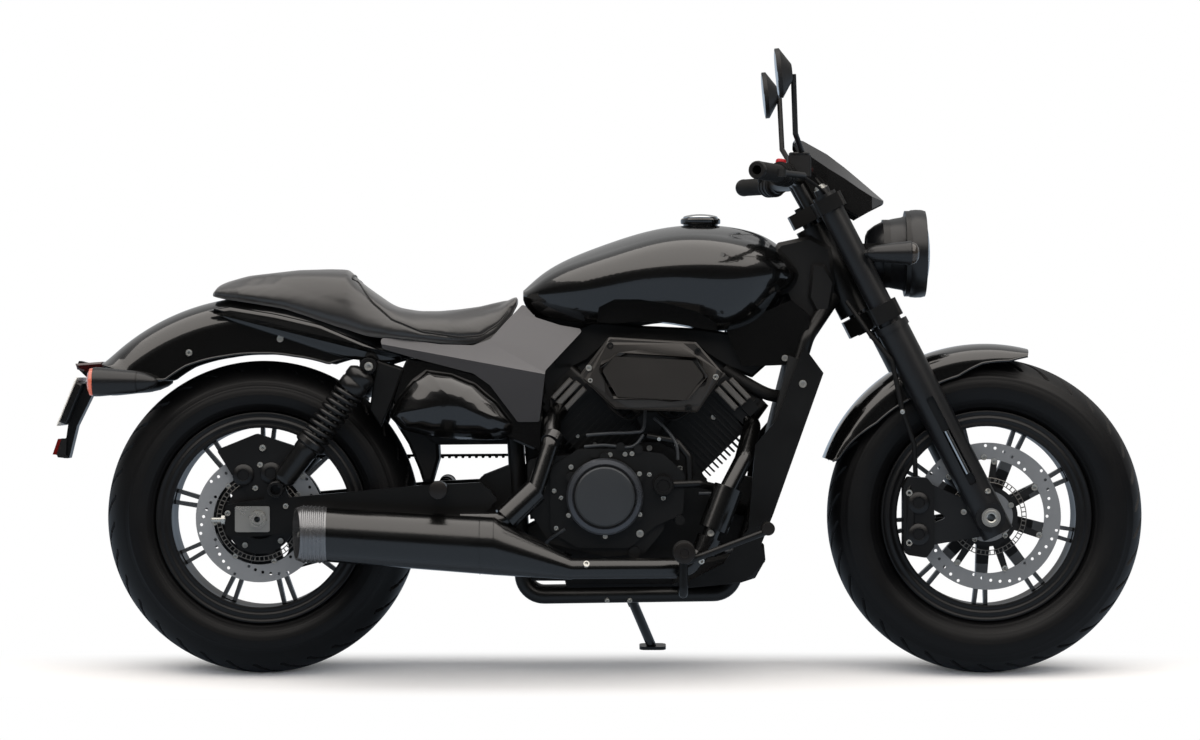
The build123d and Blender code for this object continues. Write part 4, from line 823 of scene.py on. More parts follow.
# The wall is widest this far above the flange. Its lower end lies in from the rim's edge, and its upper end
# in from the full width.
widest_mm, lip_back_mm, shoulder_in_mm = 34, 6, 11
wall_points, crown_points, shoulder_step_mm = 34, 61, 0.9
mould_rings = {4: 1.2, 5: 1.2, 12: 0.7, 20: 0.6, 27: 0.9, 28: 0.9}  # height in mm at a point of the wall
segments = 680
for node_name, middle, radius, width, rim_half in (("front_tyre", front_axle_mm, 323.0, 150.0, 50.0),
                                                   ("rear_tyre", rear_axle_mm, 320.0, 180.0, 69.0)):
    lip, shoulder_y = rim_half - lip_back_mm, width / 2 - shoulder_in_mm
    shoulder_r = radius - crown_mm + math.sqrt(crown_mm ** 2 - shoulder_y ** 2)
    wall = arc_through((flange_mm + 1, lip), (flange_mm + widest_mm, width / 2),
                       (shoulder_r, shoulder_y), wall_points)
    wall = [(r, y + mould_rings.get(i, 0.0) - (shoulder_step_mm if 28 < i < 33 else 0.0))
            for i, (r, y) in enumerate(wall)]
    crown = arc_through((shoulder_r, shoulder_y), (radius, 0), (shoulder_r, -shoulder_y), crown_points)
    profile = [(bead_mm, 0), (bead_mm, lip)] + wall + crown[1:-1] + [(r, -y) for r, y in reversed(wall)]
    profile += [(bead_mm, -lip), (bead_mm, 0)]
    points, faces = turned(profile, segments, about_axle(middle, 1))
    mesh = bpy.data.meshes.new(node_name + "_tread")
    mesh.from_pydata([parked(*p) for p in points], [], [face[::-1] for face in faces])
    turns = [s / segments for _ in profile for s in range(segments)]
    reaches = [(y if r > shoulder_r + 0.5 else 1000.0) / 1000 for r, y in profile for _ in range(segments)]
    for label, values in (("turn", turns), ("across", reaches)):
        mesh.attributes.new(label, "FLOAT", "POINT").data.foreach_set("value", values)
    crown_face = mesh.polygons[len(faces) // 2]
    if crown_face.normal.dot(crown_face.center - parked(*middle)) < 0:
        mesh.flip_normals()
    tyre = through_tree(new_object(node_name + "_tread", mesh), tread, node_name + "_tread", Slots=34.0,
                        Lean=22.0, Width=0.085, Inner_edge=0.016, Outer_edge=0.057, Depth=0.0055,
                        Finish=finishes["tyre_rubber"])
    form = bmesh.new()
    form.from_mesh(tyre.data)
    bmesh.ops.remove_doubles(form, verts=form.verts, dist=1e-7)
    form.to_mesh(tyre.data)
    form.free()
    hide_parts(node_name)
    dress(tyre, finishes["tyre_rubber"], body_of_node[node_name], "tyre_rubber", 35)
    print(node_name, "triangles", sum(len(p.vertices) - 2 for p in tyre.data.polygons))

# %% [markdown]
# Screws hold a machine like this together, and each is the same small thing: a turned head with a chamfer and
# a hexagon recess. One head is modelled, and copies of it go where the covers, their lugs and the brackets
# have them. Silver ones are zinc plated, black ones are oxidised.

# %% A screw head of radius one
segments = 12
recess_corner, recess_flat = 0.52, 0.45
head_rows = [(1.0, 1.0, -0.35), (1.0, 1.0, 0.55), (0.9, 0.9, 0.68), (0.56, 0.56, 0.68),
             (recess_flat, recess_corner, 0.66), (recess_flat, recess_corner, 0.1)]
head_points = [((odd if s % 2 else even) * math.cos(2 * math.pi * s / segments),
                (odd if s % 2 else even) * math.sin(2 * math.pi * s / segments), h)
               for even, odd, h in head_rows for s in range(segments)]
head_faces = strips(len(head_rows), segments)
head_faces += [tuple(range(segments)), tuple(range(5 * segments, 6 * segments))]
screw_head = solid_mesh("screw_head", head_points, head_faces, upright=False)


def seat_of_screw(x, z, side):
    """The nearest construction surface met by a ray from one side at an upright (x, z), with its piece."""
    start, found = (x, side * beside_mm, z), []
    for name in nodes:
        hit = landing(name, start, (0, -side, 0)) if name not in no_screws else None
        if hit:
            found.append(((hit[0] - parked(*start)).length, name, *hit))
    return min(found)[1:] if found else None


up_way = leaning((0, 0, 1))
beside_mm = 500  # the rays start this far from the middle
no_screws = ("seat", "front_tyre", "rear_tyre")
left_too = ("side_panels", "side_pods", "rear_fender", "radiator_shroud", "tank_cover", "shocks",
            "frame_spine", "fork_yokes", "engine_cases")
silver_screws = [  # x, z, radius
    (-72, 625, 6.5), (183, 607, 6.5), (182, 525, 5.5), (-69, 600, 5), (-29, 450, 5), (1, 451, 5),
    (15, 452, 5), (51, 462, 6), (50, 410, 5), (30, 412, 5), (113, 421, 6), (78, 363, 5.5), (-128, 363, 4.5),
    (-142, 377, 5), (-108, 425, 5.5), (-113, 328, 5), (31, 330, 5), (-39, 286, 5), (31, 291, 8),
    (-138, 302, 5), (173, 293, 7), (153, 238, 6.5), (-77, 232, 7), (360, 593, 8), (297, 317, 6),
    (212, 658, 9), (327, 645, 7), (-884, 656, 7), (-699, 684, 7), (-515, 628, 9), (-430, 634, 7),
    (-733, 463, 7), (-738, 429, 6), (-652, 404, 5), (577, 372, 7), (577, 271, 7), (733, 443, 6),
    (759, 396, 6), (658, 587, 5), (563, 537, 5), (-35, 153, 5), (11, 153, 5), (-95, 486, 4), (105, 470, 4),
    (-60, 470, 4), (70, 482, 4)]
black_screws = [(-29, 670, 7), (147, 659, 7), (-25, 552, 7), (128, 543, 7), (387, 811, 7), (355, 841, 7)]
# Screws in circles about the axles: how many (below nought they run the other way), the first one's angle,
# then each circle's middle and radius and the screw's own radius.
for count, first, circles in ((5, 25, ((front_axle_mm, 53, 6), (rear_axle_mm, 62, 6))),
                              (-7, -20, ((front_axle_mm, 112, 6.5), (rear_axle_mm, 91, 5.5)))):
    for index in range(abs(count)):
        turn = math.radians(first + index * 360 / count)
        for middle, circle, radius in circles:
            silver_screws.append((middle.x + circle * math.cos(turn),
                                  middle.z + circle * math.sin(turn), radius))
placed = {}
for colour, screws in (("bolt", silver_screws), ("black_bolt", black_screws)):
    for x, z, radius in screws:
        for side in (-1, 1):
            spot = seat_of_screw(x, z, side)
            if spot is None or (side == 1 and spot[0] not in left_too):
                continue
            name, place, facing = spot
            key = (colour, body_of_node[name], slot_of[name])
            placed.setdefault(key, []).append((place, facing, up_way, radius))
for (colour, body, slot_name), spots in placed.items():
    label = "screws_" + ("silver" if colour == "bolt" else "black") + "_" + body + "_" + slot_name
    scatter(label, screw_head, spots, extra[colour], body, slot_name, size=0.001)
print("screws", sum(len(s) for s in placed.values()), "in", len(placed), "groups")

# %% [markdown]
# The silencer's end is a pressed steel cap with fine ribs turned around it. Rings of thin half-round section
# lie along the cap from the seam to the bevel. They are made with the same tube tree, each ring a closed
# line.

# %% Ribs on the silencer's end
def ring_line(middle, radius, count=64):
    """An upright ring about the X direction, closed by its first point."""
    return [(middle[0], middle[1] + radius * math.cos(2 * math.pi * s / count),
             middle[2] + radius * math.sin(2 * math.pi * s / count)) for s in range(count + 1)]


muffler_axis_y = -215.0
# The cap rises and widens a little towards its end.
tip_x, tip_z, tip_radius, tip_taper = -596, 291, 54.6, 0.02
ribs = [ring_line((x, muffler_axis_y, tip_z + (x - tip_x) * -tip_taper), tip_radius + (tip_x - x) * tip_taper)
        for x in np.linspace(-603, -643, 6)]
tube("tip_ribs", ribs, 2.9, finishes["tip_steel"], body_of_node["muffler_tip"], "tip_steel", 10, 1)
seam_ring = ring_line((-290, muffler_axis_y, 271), 59.1)
tube("muffler_seams", [seam_ring, ring_line((-262, muffler_axis_y, 269.3), 58.9)], 0.9,
     finishes["exhaust_black"], body_of_node["muffler"], "exhaust_black", 6, 1)

# %% [markdown]
# Two more ways to make a form. A slab is an outline seen from the side, given a thickness and chamfered
# edges, as plates, covers and castings are. A turning is a profile spun about any line, as caps, bolts, bowls
# and eyes are.

# %% Slabs and turnings
def inset(outline, distance):
    """An outline of (x, z) points moved inward by a distance, corner by corner."""
    area = sum(a[0] * b[1] - b[0] * a[1] for a, b in zip(outline, outline[1:] + outline[:1]))
    sign = 1 if area > 0 else -1
    result = []
    for i, here in enumerate(outline):
        back, ahead = Vector(outline[i - 1]), Vector(outline[(i + 1) % len(outline)])
        here = Vector(here)
        first, second = (here - back).normalized(), (ahead - here).normalized()
        inward = (Vector((-first.y, first.x)) + Vector((-second.y, second.x))) * sign
        scale = distance / max(0.35, inward.length / 2) / max(inward.length, 1e-6)
        result.append(tuple(here + inward * scale))
    return result


def slab(outline, y_from, y_to, edge=3.0):
    """A plate between two distances across, chamfered at both faces."""
    low, high = sorted((y_from, y_to))
    edge = min(edge, (high - low) / 2.5)
    small = inset(outline, edge)
    rows = [(small, low), (outline, low + edge), (outline, high - edge), (small, high)]
    count = len(outline)
    points = [(x, y, z) for line, y in rows for x, z in line]
    return points, strips(4, count) + [tuple(range(count)), tuple(range(3 * count, 4 * count))]


def both(outline, y_from, y_to, edge=3.0):
    """The same slab on the right and on the left."""
    return joined(slab(outline, -y_to, -y_from, edge), slab(outline, y_from, y_to, edge))


def turning(profile, start, towards, segments=32):
    """A profile of (radius, distance) spun about a line that leaves `start` towards a direction."""
    way = Vector(towards).normalized()
    side = way.orthogonal().normalized()
    third = way.cross(side)

    def place(r, h, a):
        return tuple(Vector(start) + way * h + (side * math.cos(a) + third * math.sin(a)) * r)

    return turned(profile, segments, place)


rake = math.radians(27.2)


def up_fork(up, ahead=0.0, side=0.0):
    """A point measured up the fork from the front axle, as in the construction."""
    return (front_axle_mm.x - up * math.sin(rake) + ahead * math.cos(rake), side,
            front_axle_mm.z + up * math.cos(rake) + ahead * math.sin(rake))


# %% [markdown]
# Castings and covers between the cylinders, under the tank and behind the side covers. On the real machine
# these are the intake, the air box, the battery case and the neck's cover: moulded or cast, all black, and
# they close the view through the frame. They stay narrow, between the frame's tubes.

# %% Inner castings and cases
intake = slab([(-30, 648), (138, 648), (158, 590), (112, 520), (66, 462), (42, 462), (-4, 520),
               (-50, 590)], -58, 58, 6)
valley = slab([(14, 540), (96, 540), (72, 486), (36, 486)], -96, -50, 5)
throttle_body = [(0, 0), (25, 0), (27, 3), (27, 40), (24, 44), (24, 58), (0, 58)]
throttle = joined(*[turning(throttle_body, (x, -98, 604), (0, 1, 0), 28) for x in (10, 98)])
make("intake_castings", *joined(intake, valley, throttle), finishes["engine_black"], "chassis",
     "engine_black")
air_box = slab([(-150, 618), (-132, 694), (-60, 722), (30, 712), (160, 706), (262, 690), (300, 640),
                (262, 606), (206, 628), (168, 652), (140, 676), (-34, 676), (-74, 640),
                (-110, 622)], -52, 52, 5)
battery_case = slab([(-436, 592), (-372, 600), (-250, 556), (-190, 500), (-184, 470), (-392, 468),
                     (-428, 500)], -60, 60, 8)
frame_case = slab([(-212, 600), (-160, 600), (-150, 480), (-128, 420), (-140, 320), (-192, 316),
                   (-204, 470)], -56, 56, 6)
ribs = [slab([(x, 480), (x + 5, 480), (x + 5, 560), (x, 560)], -66, 66, 1.5) for x in range(-400, -240, 26)]
case_plastic = finish("black polypropylene, moulded", "#090909", 0.5, grain_mm=1.0, bump_mm=0.03,
                      specular=0.35)
make("air_box_and_cases", *joined(air_box, battery_case, frame_case, *ribs), case_plastic, "chassis",
     "black_plastic")
cover_back = [(-470, 560), (-456, 610), (-440, 646), (-374, 636), (-252, 598), (-166, 540), (-166, 452),
              (-252, 490), (-374, 496), (-452, 516)]
make("side_cover_backs", *both(cover_back, 112, 128, 4), finishes["gloss_black"], "chassis", "gloss_black")
corner_plate = [(-500, 640), (-448, 622), (-470, 560), (-492, 506), (-516, 540), (-508, 600)]
make("frame_corner_plates", *both(corner_plate, 120, 134, 3), finishes["black_frame"], "chassis",
     "black_frame")

# %% [markdown]
# The neck's cover hides the wiring where the frame meets the steering, and a small case sits behind the lower
# clamp. Both stay near the middle, so the clamps can turn past them.

# %% Neck cover
neck = slab([(290, 846), (316, 882), (380, 896), (424, 872), (432, 800), (410, 724), (372, 716), (340, 748),
             (322, 790)], -44, 44, 8)
neck_case = slab([(384, 838), (408, 838), (430, 800), (420, 744), (396, 730), (376, 770)], -58, 58, 5)
make("neck_cover", *joined(neck, neck_case), case_plastic, "chassis", "black_plastic")

# %% [markdown]
# The heads carry machined ribs at their upper corners, left bare against the black. The air cleaner has a
# raised pad with a black joint around it, and the clutch cover is a grey disc inside a turned ring.

# %% Bare ribs, pad and joint
rear_rib = [[(-150, 566), (-112, 606), (-104, 600), (-142, 560)],
            [(-140, 556), (-98, 600), (-88, 592), (-130, 548)],
            [(-124, 546), (-84, 588), (-76, 580), (-116, 538)]]
front_rib = [[(2 * 54 - x, z) for x, z in line] for line in rear_rib]
make("head_ribs", *joined(*[slab(line, side * 66, side * 92, 2) for side in (-1, 1)
                            for line in rear_rib + front_rib]), extra["bare_casting"], "chassis",
     "engine_black")
pad = [(-47, 612), (-14, 640), (136, 643), (160, 612), (131, 571), (-12, 571)]
pad_face = finish("black rubber pad, moulded", "#101010", 0.5, grain_mm=1.0, bump_mm=0.03, specular=0.4)
make("air_cleaner_pad", *slab(inset(pad, 4), -203, -190, 5), pad_face, "chassis", "cleaner_black")
joint = smooth_line(pad + pad[:1], 60)
tube("air_cleaner_joint", [[(x, -196, z) for x, z in joint]], 2.4, extra["seam"], "chassis",
     "cleaner_black", 8, 1)
clutch_ring = [(77.5, 0), (77.5, 3), (74, 8), (66, 10), (63, 8), (63, 0), (77.5, 0)]
make("clutch_ring", *turning(clutch_ring, (-40, -177, 366), (0, -1, 0), 96), extra["clutch_metal"], "chassis",
     "engine_black", 25)
clutch_disc = [(0, 0), (0, 4), (50, 4), (57, 3.2), (60, 1), (60, 0), (0, 0)]
make("clutch_face", *turning(clutch_disc, (-40, -189, 366), (0, -1, 0), 96), extra["grey_cover"], "chassis",
     "engine_black", 25)
cap_face = [(0, 0), (0, 3), (12, 3), (13, 5), (19, 5), (20, 3), (20, 0), (0, 0)]
make("filler_face", *turning(cap_face, (78, -179, 388), (0, -1, 0), 40), extra["black_bolt"], "chassis",
     "engine_black", 25)

# %% [markdown]
# Pipes and hoses. Each is a line of a few points that the tube tree rounds and thickens.
# Steel pipes are thin and shine a little, rubber hoses are thicker and dull.

# %% Pipes, hoses and leads
pipes = [[(-77, -142, 489), (-30, -148, 493), (18, -148, 495), (38, -142, 502), (42, -124, 540)],
         [(-81, -152, 466), (-40, -156, 469), (6, -154, 465), (24, -150, 472), (38, -142, 490)],
         [(60, -124, 524), (84, -142, 502), (104, -154, 472), (108, -158, 440)],
         [(150, -152, 372), (186, -148, 372), (206, -120, 376)],
         [(-120, -158, 300), (-150, -150, 280), (-164, -120, 262)]]
tube("engine_pipes", pipes, 3.6, extra["grey_cover"], "chassis", "engine_black", 10, 8)
hoses = [[(240, -52, 336), (216, -86, 344), (190, -100, 366)],
         [(330, -40, 566), (292, -58, 572), (246, -60, 596), (206, -46, 622)]]
tube("coolant_hoses", hoses, 13, finishes["belt_rubber"], "chassis", "belt_rubber", 18, 8)
leads = [[(152, -80, 566), (134, -112, 538), (98, -122, 520), (70, -96, 534)],
         [(-44, -80, 566), (-22, -112, 538), (10, -118, 520), (36, -96, 536)],
         [(-150, -92, 560), (-146, -100, 500), (-160, -98, 440), (-176, -90, 380)],
         [(330, -30, 780), (300, -40, 720), (270, -46, 690)]]
tube("wires_and_leads", leads, 3.4, finishes["belt_rubber"], "chassis", "belt_rubber", 8, 8)
front_leads = [[(474, -48, 806), (496, -62, 838), (520, -70, 850)],
               [(474, 48, 806), (496, 62, 838), (520, 70, 850)],
               [(336, -214, 1022), (392, -150, 990), (430, -96, 950), (450, -60, 900)],
               [(336, 214, 1022), (392, 150, 990), (430, 96, 950), (450, 60, 900)]]
tube("front_cables", front_leads, 3.2, finishes["belt_rubber"], "steering", "belt_rubber", 8, 8)
print("pipes and hoses", len(pipes) + len(hoses) + len(leads) + len(front_leads))

# %% [markdown]
# The headlamp is a bowl spun from sheet: it swells from a small back to a wide ring. The bowl is a shell over
# the construction's lamp. Inside lies a bright reflector with a bulb, seen through the glass.

# %% Headlamp bowl, reflector and bulb
bowl = [(38, -104), (47, -100), (58, -86), (66, -70), (71.5, -50), (75, -30), (80, -22), (86, -18),
        (89.5, -12), (90.4, -2), (90, 10), (88, 17), (85, 18.8), (83.6, 17), (83.6, -12), (69, -22),
        (69, -66), (40, -98), (38, -104)]
lamp_at = (600, 0, 860)
lamp_paint = finish("black enamel, satin, on spun steel", "#101113", 0.32, grain_mm=2.0, bump_mm=0.01,
                    specular=0.5)
make("headlamp_bowl", *turning(bowl, lamp_at, (1, 0, 0), 96), lamp_paint, "steering", "black_frame")
reflector = [(75, -1), (66, -16), (50, -33), (30, -47), (19, -52), (0, -53), (0, -54.5), (19, -54), (31, -50),
             (52, -36), (68, -19), (76, -4), (75, -1)]
make("headlamp_reflector", *turning(reflector, lamp_at, (1, 0, 0), 72), extra["mirror"], "steering",
     "black_frame")
bulb = [(0, -54), (9, -54), (9, -40), (7, -36), (7, -14), (5, -9), (0, -7)]
make("headlamp_bulb", *turning(bulb, lamp_at, (1, 0, 0), 24), extra["dial"], "steering", "black_frame")
signal_lens = [(0, 0), (22, 0), (22.5, 3), (20, 9), (12, 14), (0, 15.5)]
signals = [turning(signal_lens, (580, side * 150, 857), (1, 0, 0), 32) for side in (-1, 1)]
clear_lens = finish("smoked acrylic lens, moulded", "#2E2A26", 0.1, grain_mm=4, bump_mm=0.05,
                    mottle=0.03, coat=0.5)
make("front_signal_lenses", *joined(*signals), clear_lens, "steering", "lamp_glass")
bullet = [(0, 0), (29, 0), (29.6, 4), (29.4, 14), (27.5, 34), (25, 56), (22.8, 82), (18, 104), (10, 122),
          (4, 130), (0, 131)]
rear_signals_at = [(-1073, side * 148, 597) for side in (-1, 1)]
bullets = [turning(bullet, place, (1, 0, 0), 48) for place in rear_signals_at]
make("rear_signal_bodies", *joined(*bullets), lamp_paint, "chassis", "black_frame")
ember = [(0, 0), (27, 0), (28, 2), (27, 7), (19, 11), (0, 13)]
embers = [turning(ember, place, (-1, 0, 0), 40) for place in rear_signals_at]
# These lenses carry the faint painted glow of their finish.
make("rear_signal_lenses", *joined(*embers), extra["amber_painted_glow"], "chassis", "red_lens")
tail_lens = slab([(-1122, 634), (-1066, 638), (-1064, 618), (-1086, 612), (-1118, 622)], -52, 52, 4)
smoked_red = finish("smoked red acrylic, moulded", "#240505", 0.12, grain_mm=2, bump_mm=0.02, coat=0.6)
make("tail_lamp_lens", *tail_lens, smoked_red, "chassis", "red_lens")

# %% [markdown]
# The shock absorbers: an eye at each end, a grooved collar, a damper body and a coil spring. The spring is a
# helix of steel wire, made from points on a screw line with the tube tree.

# %% Shock absorbers
shock_parts, coils = [], []
eye = [(10.5, -14), (16, -14), (17, -12.5), (17, 12.5), (16, 14), (10.5, 14), (10.5, -14)]
small_eye = [(r - 1 if r > 11 else r, h * 0.75) for r, h in eye]
coil_turns, coil_steps, coil_radius = 9.0, 260, 26.0
for side in (-1, 1):
    top, bottom = Vector((-517, side * 158, 629)), Vector((-703, side * 158, 380))
    way = (bottom - top).normalized()
    across_way = Vector((0, 1, 0))
    third = way.cross(across_way)
    shock_parts.append(turning(eye, top, (0, 1, 0), 32))
    shock_parts.append(turning(small_eye, bottom + Vector((0, side * 7, 0)), (0, 1, 0), 32))
    head = [(0, 12), (18, 12), (24, 16), (29, 20), (30, 24), (30, 36), (28.4, 38), (28.4, 42), (30, 44),
            (30, 58), (27, 63), (0, 63)]
    shock_parts.append(turning(head, top, way, 40))
    shock_parts.append(turning([(0, 60), (11, 60), (11, 200), (0, 200)], top, way, 24))
    low_body = [(0, 186), (29, 186), (32, 189), (32, 199), (29, 202), (25, 204), (25, 214), (23.5, 218),
                (22.5, 280), (20, 288), (12, 294), (12, 304), (0, 304)]
    shock_parts.append(turning(low_body, top, way, 40))
    around = [2 * math.pi * coil_turns * i / coil_steps for i in range(coil_steps + 1)]
    coils.append([tuple(top + way * (64 + 122 * i / coil_steps)
                        + (across_way * math.cos(turn) + third * math.sin(turn)) * coil_radius)
                  for i, turn in enumerate(around)])
dampers = make("shock_bodies", *joined(*shock_parts), finishes["shock_black"], "chassis", "shock_black")
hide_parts("shocks")
tube("shock_springs", coils, 4.6, finishes["shock_black"], "chassis", "shock_black", 10, 1)

# %% [markdown]
# Wheels. A cast rim has a stepped lip, so thin raised rings run round it. Beside the hub sits a toothed ring
# that a sensor reads: two thin hoops with short bars between them, copied round by the tree.

# %% Rim lips and toothed rings
for name, middle, half in (("front", front_axle_mm, 50), ("rear", rear_axle_mm, 69)):
    lip = [(184, -0.6), (184, 1.2), (187, 2.2), (190, 1.0), (195, 0.8), (197, 2.6), (201, 2.8), (203, 0.8),
           (209, 0.7), (211, 2.4), (214, 2.6), (216, 0.8), (216, -0.6), (184, -0.6)]
    lips = [turned(lip, 160, about_axle((middle.x, side * half, middle.z), side)) for side in (-1, 1)]
    make(name + "_rim_lips", *joined(*lips), finishes["cast_black"], name + "_wheel", "cast_black", 50)
ring_steel = finish("steel sheet, punched and phosphated", "#6E6C69", 0.4, metal=0.7, grain_mm=0.8,
                    bump_mm=0.01)
bar = solid_mesh("bar", *slab([(-1.1, -4.5), (1.1, -4.5), (1.1, 4.5), (-1.1, 4.5)], -0.9, 0.9, 0.3),
                 upright=False)
for name, middle, radius, y, count in (("front", front_axle_mm, 74, -80.0, 50),
                                       ("rear", rear_axle_mm, 82, -113.0, 56)):
    spots = []
    for index in range(count):
        turn = 2 * math.pi * index / count
        out = Vector((math.cos(turn), 0, math.sin(turn)))
        place = parked(middle.x + radius * out.x, y, middle.z + radius * out.z)
        spots.append((place, leaning(out), leaning((-out.z, 0, out.x)), 1.0))
    scatter(name + "_sensor_bars", bar, spots, ring_steel, name + "_wheel", "disc_steel", size=0.001)
    hoops = [[(middle.x + r * math.cos(2 * math.pi * s / 72), y,
               middle.z + r * math.sin(2 * math.pi * s / 72)) for s in range(73)]
             for r in (radius - 4.5, radius + 4.5)]
    tube(name + "_sensor_hoops", hoops, 1.0, ring_steel, name + "_wheel", "disc_steel", 6, 1)

# %% [markdown]
# Brake calipers have round caps over their pistons and a bridge between, and the axle ends carry a washer and
# a nut.

# %% Caliper caps, axle nuts and adjusters
piston_cap = [(0, 0), (22, 0), (22, 5), (19, 8), (12, 9), (11, 7), (0, 7)]
front_caps = [turning(piston_cap, (596, -120, z), (0, -1, 0), 32) for z in (288, 352)]
bridge = slab([(572, 262), (580, 256), (588, 300), (588, 340), (580, 388), (572, 380)], -126, -118, 2.5)
make("front_caliper_caps", *joined(bridge, *front_caps), finishes["caliper_black"], "steering",
     "caliper_black")
rear_caps = [turning(piston_cap, (x, -121, z), (0, -1, 0), 32) for x, z in ((-772, 408), (-716, 412))]
make("rear_caliper_caps", *joined(*rear_caps), finishes["caliper_black"], "chassis", "caliper_black")
nut_profile = [(7, 0), (20, 0), (20, 2.5), (16.5, 2.5), (16.5, 12), (15, 14), (9, 14), (7.5, 9), (7, 0)]
nut_hit = landing("rear_axle", (-722, -500, 332), (0, 1, 0))
nut_y = -170.0 if nut_hit is None else (park.inverted() @ nut_hit[0]).y * 1000
make("rear_axle_nut", *turning(nut_profile, (-740, nut_y + 0.5, 320), (0, -1, 0), 6), extra["bolt"],
     "chassis", "axle_steel", 20)
washer = [(8, 0), (15, 0), (15.4, 1.5), (14.6, 2.6), (10, 2.6), (8, 1.2), (8, 0)]
make("front_axle_washer", *turning(washer, (740, -157.8, 323), (0, -1, 0), 48), extra["bolt"], "steering",
     "axle_steel", 25)
adjuster_at = (-800, -140, 318)
bolt_shank = turning([(0, 0), (5, 0), (5, 34), (4, 36), (0, 36)], adjuster_at, (-1, 0, 0), 16)
lock_nut = turning([(0, 8), (9, 8), (9, 15), (0, 15)], adjuster_at, (-1, 0, 0), 6)
make("axle_adjuster", *joined(bolt_shank, lock_nut), extra["bolt"], "chassis", "axle_steel", 20)

# %% [markdown]
# The belt's inner face is toothed. Its two straight runs touch both pulleys, so they are found as the
# tangents of the two circles, and one tooth is copied along each.

# %% Belt teeth
drive, driven, small, large, belt_y = Vector((-170, 398)), Vector((-740, 320)), 44.0, 118.0, 109.0
gap_way = drive - driven
base, spread_angle = math.atan2(gap_way.y, gap_way.x), math.acos((large - small) / gap_way.length)
tooth = solid_mesh("tooth", *slab([(-3.4, -1.6), (3.4, -1.6), (2.2, 2.6), (-2.2, 2.6)], -12, 12, 0.6),
                   upright=False)
teeth, tooth_pitch = [], 14
for sign in (1, -1):
    out = Vector((math.cos(base + sign * spread_angle), math.sin(base + sign * spread_angle)))
    start, end = driven + out * large, drive + out * small
    run = end - start
    for index in range(1, int(run.length / tooth_pitch)):
        here = start + run * (index * tooth_pitch / run.length) - out * 0.6
        facing, along_run = leaning((-out.x, 0, -out.y)), leaning((run.x, 0, run.y)).normalized()
        teeth.append((parked(here.x, belt_y, here.y), facing, along_run, 1.0))
scatter("belt_teeth", tooth, teeth, finishes["belt_rubber"], "chassis", "belt_rubber", size=0.001)

# %% [markdown]
# The bars' ends: ribbed grips, a weight at each end, the switches with a red stop button, the reservoirs'
# lids and the mirrors' glass. The fork gets its caps and its bright inner tubes.

# %% Grips, switches and mirrors
grip_way = Vector((258 - 312, 400 - 268, 2)).normalized()


def on_grip(distance, side, ahead=0.0, up=0.0):
    """A point on the grip's line, measured inward from the bar's end."""
    point = Vector((258, 400, 1013)) - grip_way * distance
    return Vector((point.x + ahead, point.y * side, point.z + up))


grip_ribs, bar_parts, black_parts = [], [], []
grip_pitch = 4
for side in (-1, 1):
    inward = Vector((-grip_way.x, -grip_way.y * side, -grip_way.z))
    profile = [(16.6, 10)]
    for start in range(12, 120, grip_pitch):
        profile += [(16.6, start), (18.1, start + 1), (18.1, start + 2.6), (16.6, start + 3.6)]
    profile += [(16.6, 122), (16.6, 10)]
    grip_ribs.append(turning(profile, on_grip(0, side), inward, 32))
    weight = [(9.6, -1), (16, -1), (18, 1), (18.5, 6), (17, 9), (9.6, 9), (9.6, -1)]
    bar_parts.append(turning(weight, on_grip(0, side), inward, 40))
    clamp = [(22, -1.5), (24.5, -1.5), (24.5, 1.5), (22, 1.5), (22, -1.5)]
    black_parts += [turning(clamp, on_grip(distance, side), inward, 40) for distance in (134, 150, 166)]
    lid = [(0, 0), (20, 0), (21, 2), (21, 5), (19, 7), (0, 7.5)]
    black_parts.append(turning(lid, on_grip(182, side, 22, 38.5), (0, 0, 1), 28))
    button = [(0, 0), (7, 0), (8, 3), (8, 7), (6, 9), (0, 9)]
    black_parts.append(turning(button, on_grip(146, side, -18, 12), (-1, 0, 0.6), 20))
make("grip_ribs", *joined(*grip_ribs), finishes["grip_rubber"], "steering", "grip_rubber", 30)
make("bar_weights", *joined(*bar_parts), extra["black_bolt"], "steering", "black_frame", 30)
make("switch_details", *joined(*black_parts), finishes["black_plastic"], "steering", "black_plastic", 30)
stop_cap = turning([(0, 0), (10, 0), (11, 3), (10, 8), (7, 10), (0, 10.5)], on_grip(150, -1, -4, 21),
                   (0.1, 0, 1), 24)
stop_key = turning([(0, 0), (5, 0), (5, 5), (0, 6)], on_grip(162, -1, -20, 6), (-1, 0, 0.3), 20)
make("stop_button", *joined(stop_cap, stop_key), extra["red_button"], "steering", "red_lens", 30)
caps = [turning([(0, -2), (15, -2), (15, 2), (11, 4), (11, 7), (8, 9), (0, 9.5)], up_fork(747, 0, side * 118),
                Vector(up_fork(1)) - Vector(up_fork(0)), 32) for side in (-1, 1)]
make("fork_caps", *joined(*caps), extra["bolt"], "steering", "axle_steel", 25)
glass_disc = [(0, -0.4), (43, -0.4), (44, 0.4), (43, 1.3), (0, 1.3)]
glass = [turning(glass_disc, (300, side * 330, 1207), (-1, 0, -0.1), 48) for side in (-1, 1)]
make("mirror_glass", *joined(*glass), extra["mirror"], "steering", "black_plastic", 30)
slots = [[up_fork(up, 0, side * 142) for up in (100, 150, 197)] for side in (-1, 1)]
tube("fork_inner_tubes", slots, 7.0, extra["chrome"], "steering", "axle_steel", 24, 1)

# %% [markdown]
# The footrests: a rubber sleeve with rings on each of the rider's pegs, and metal ends on all.

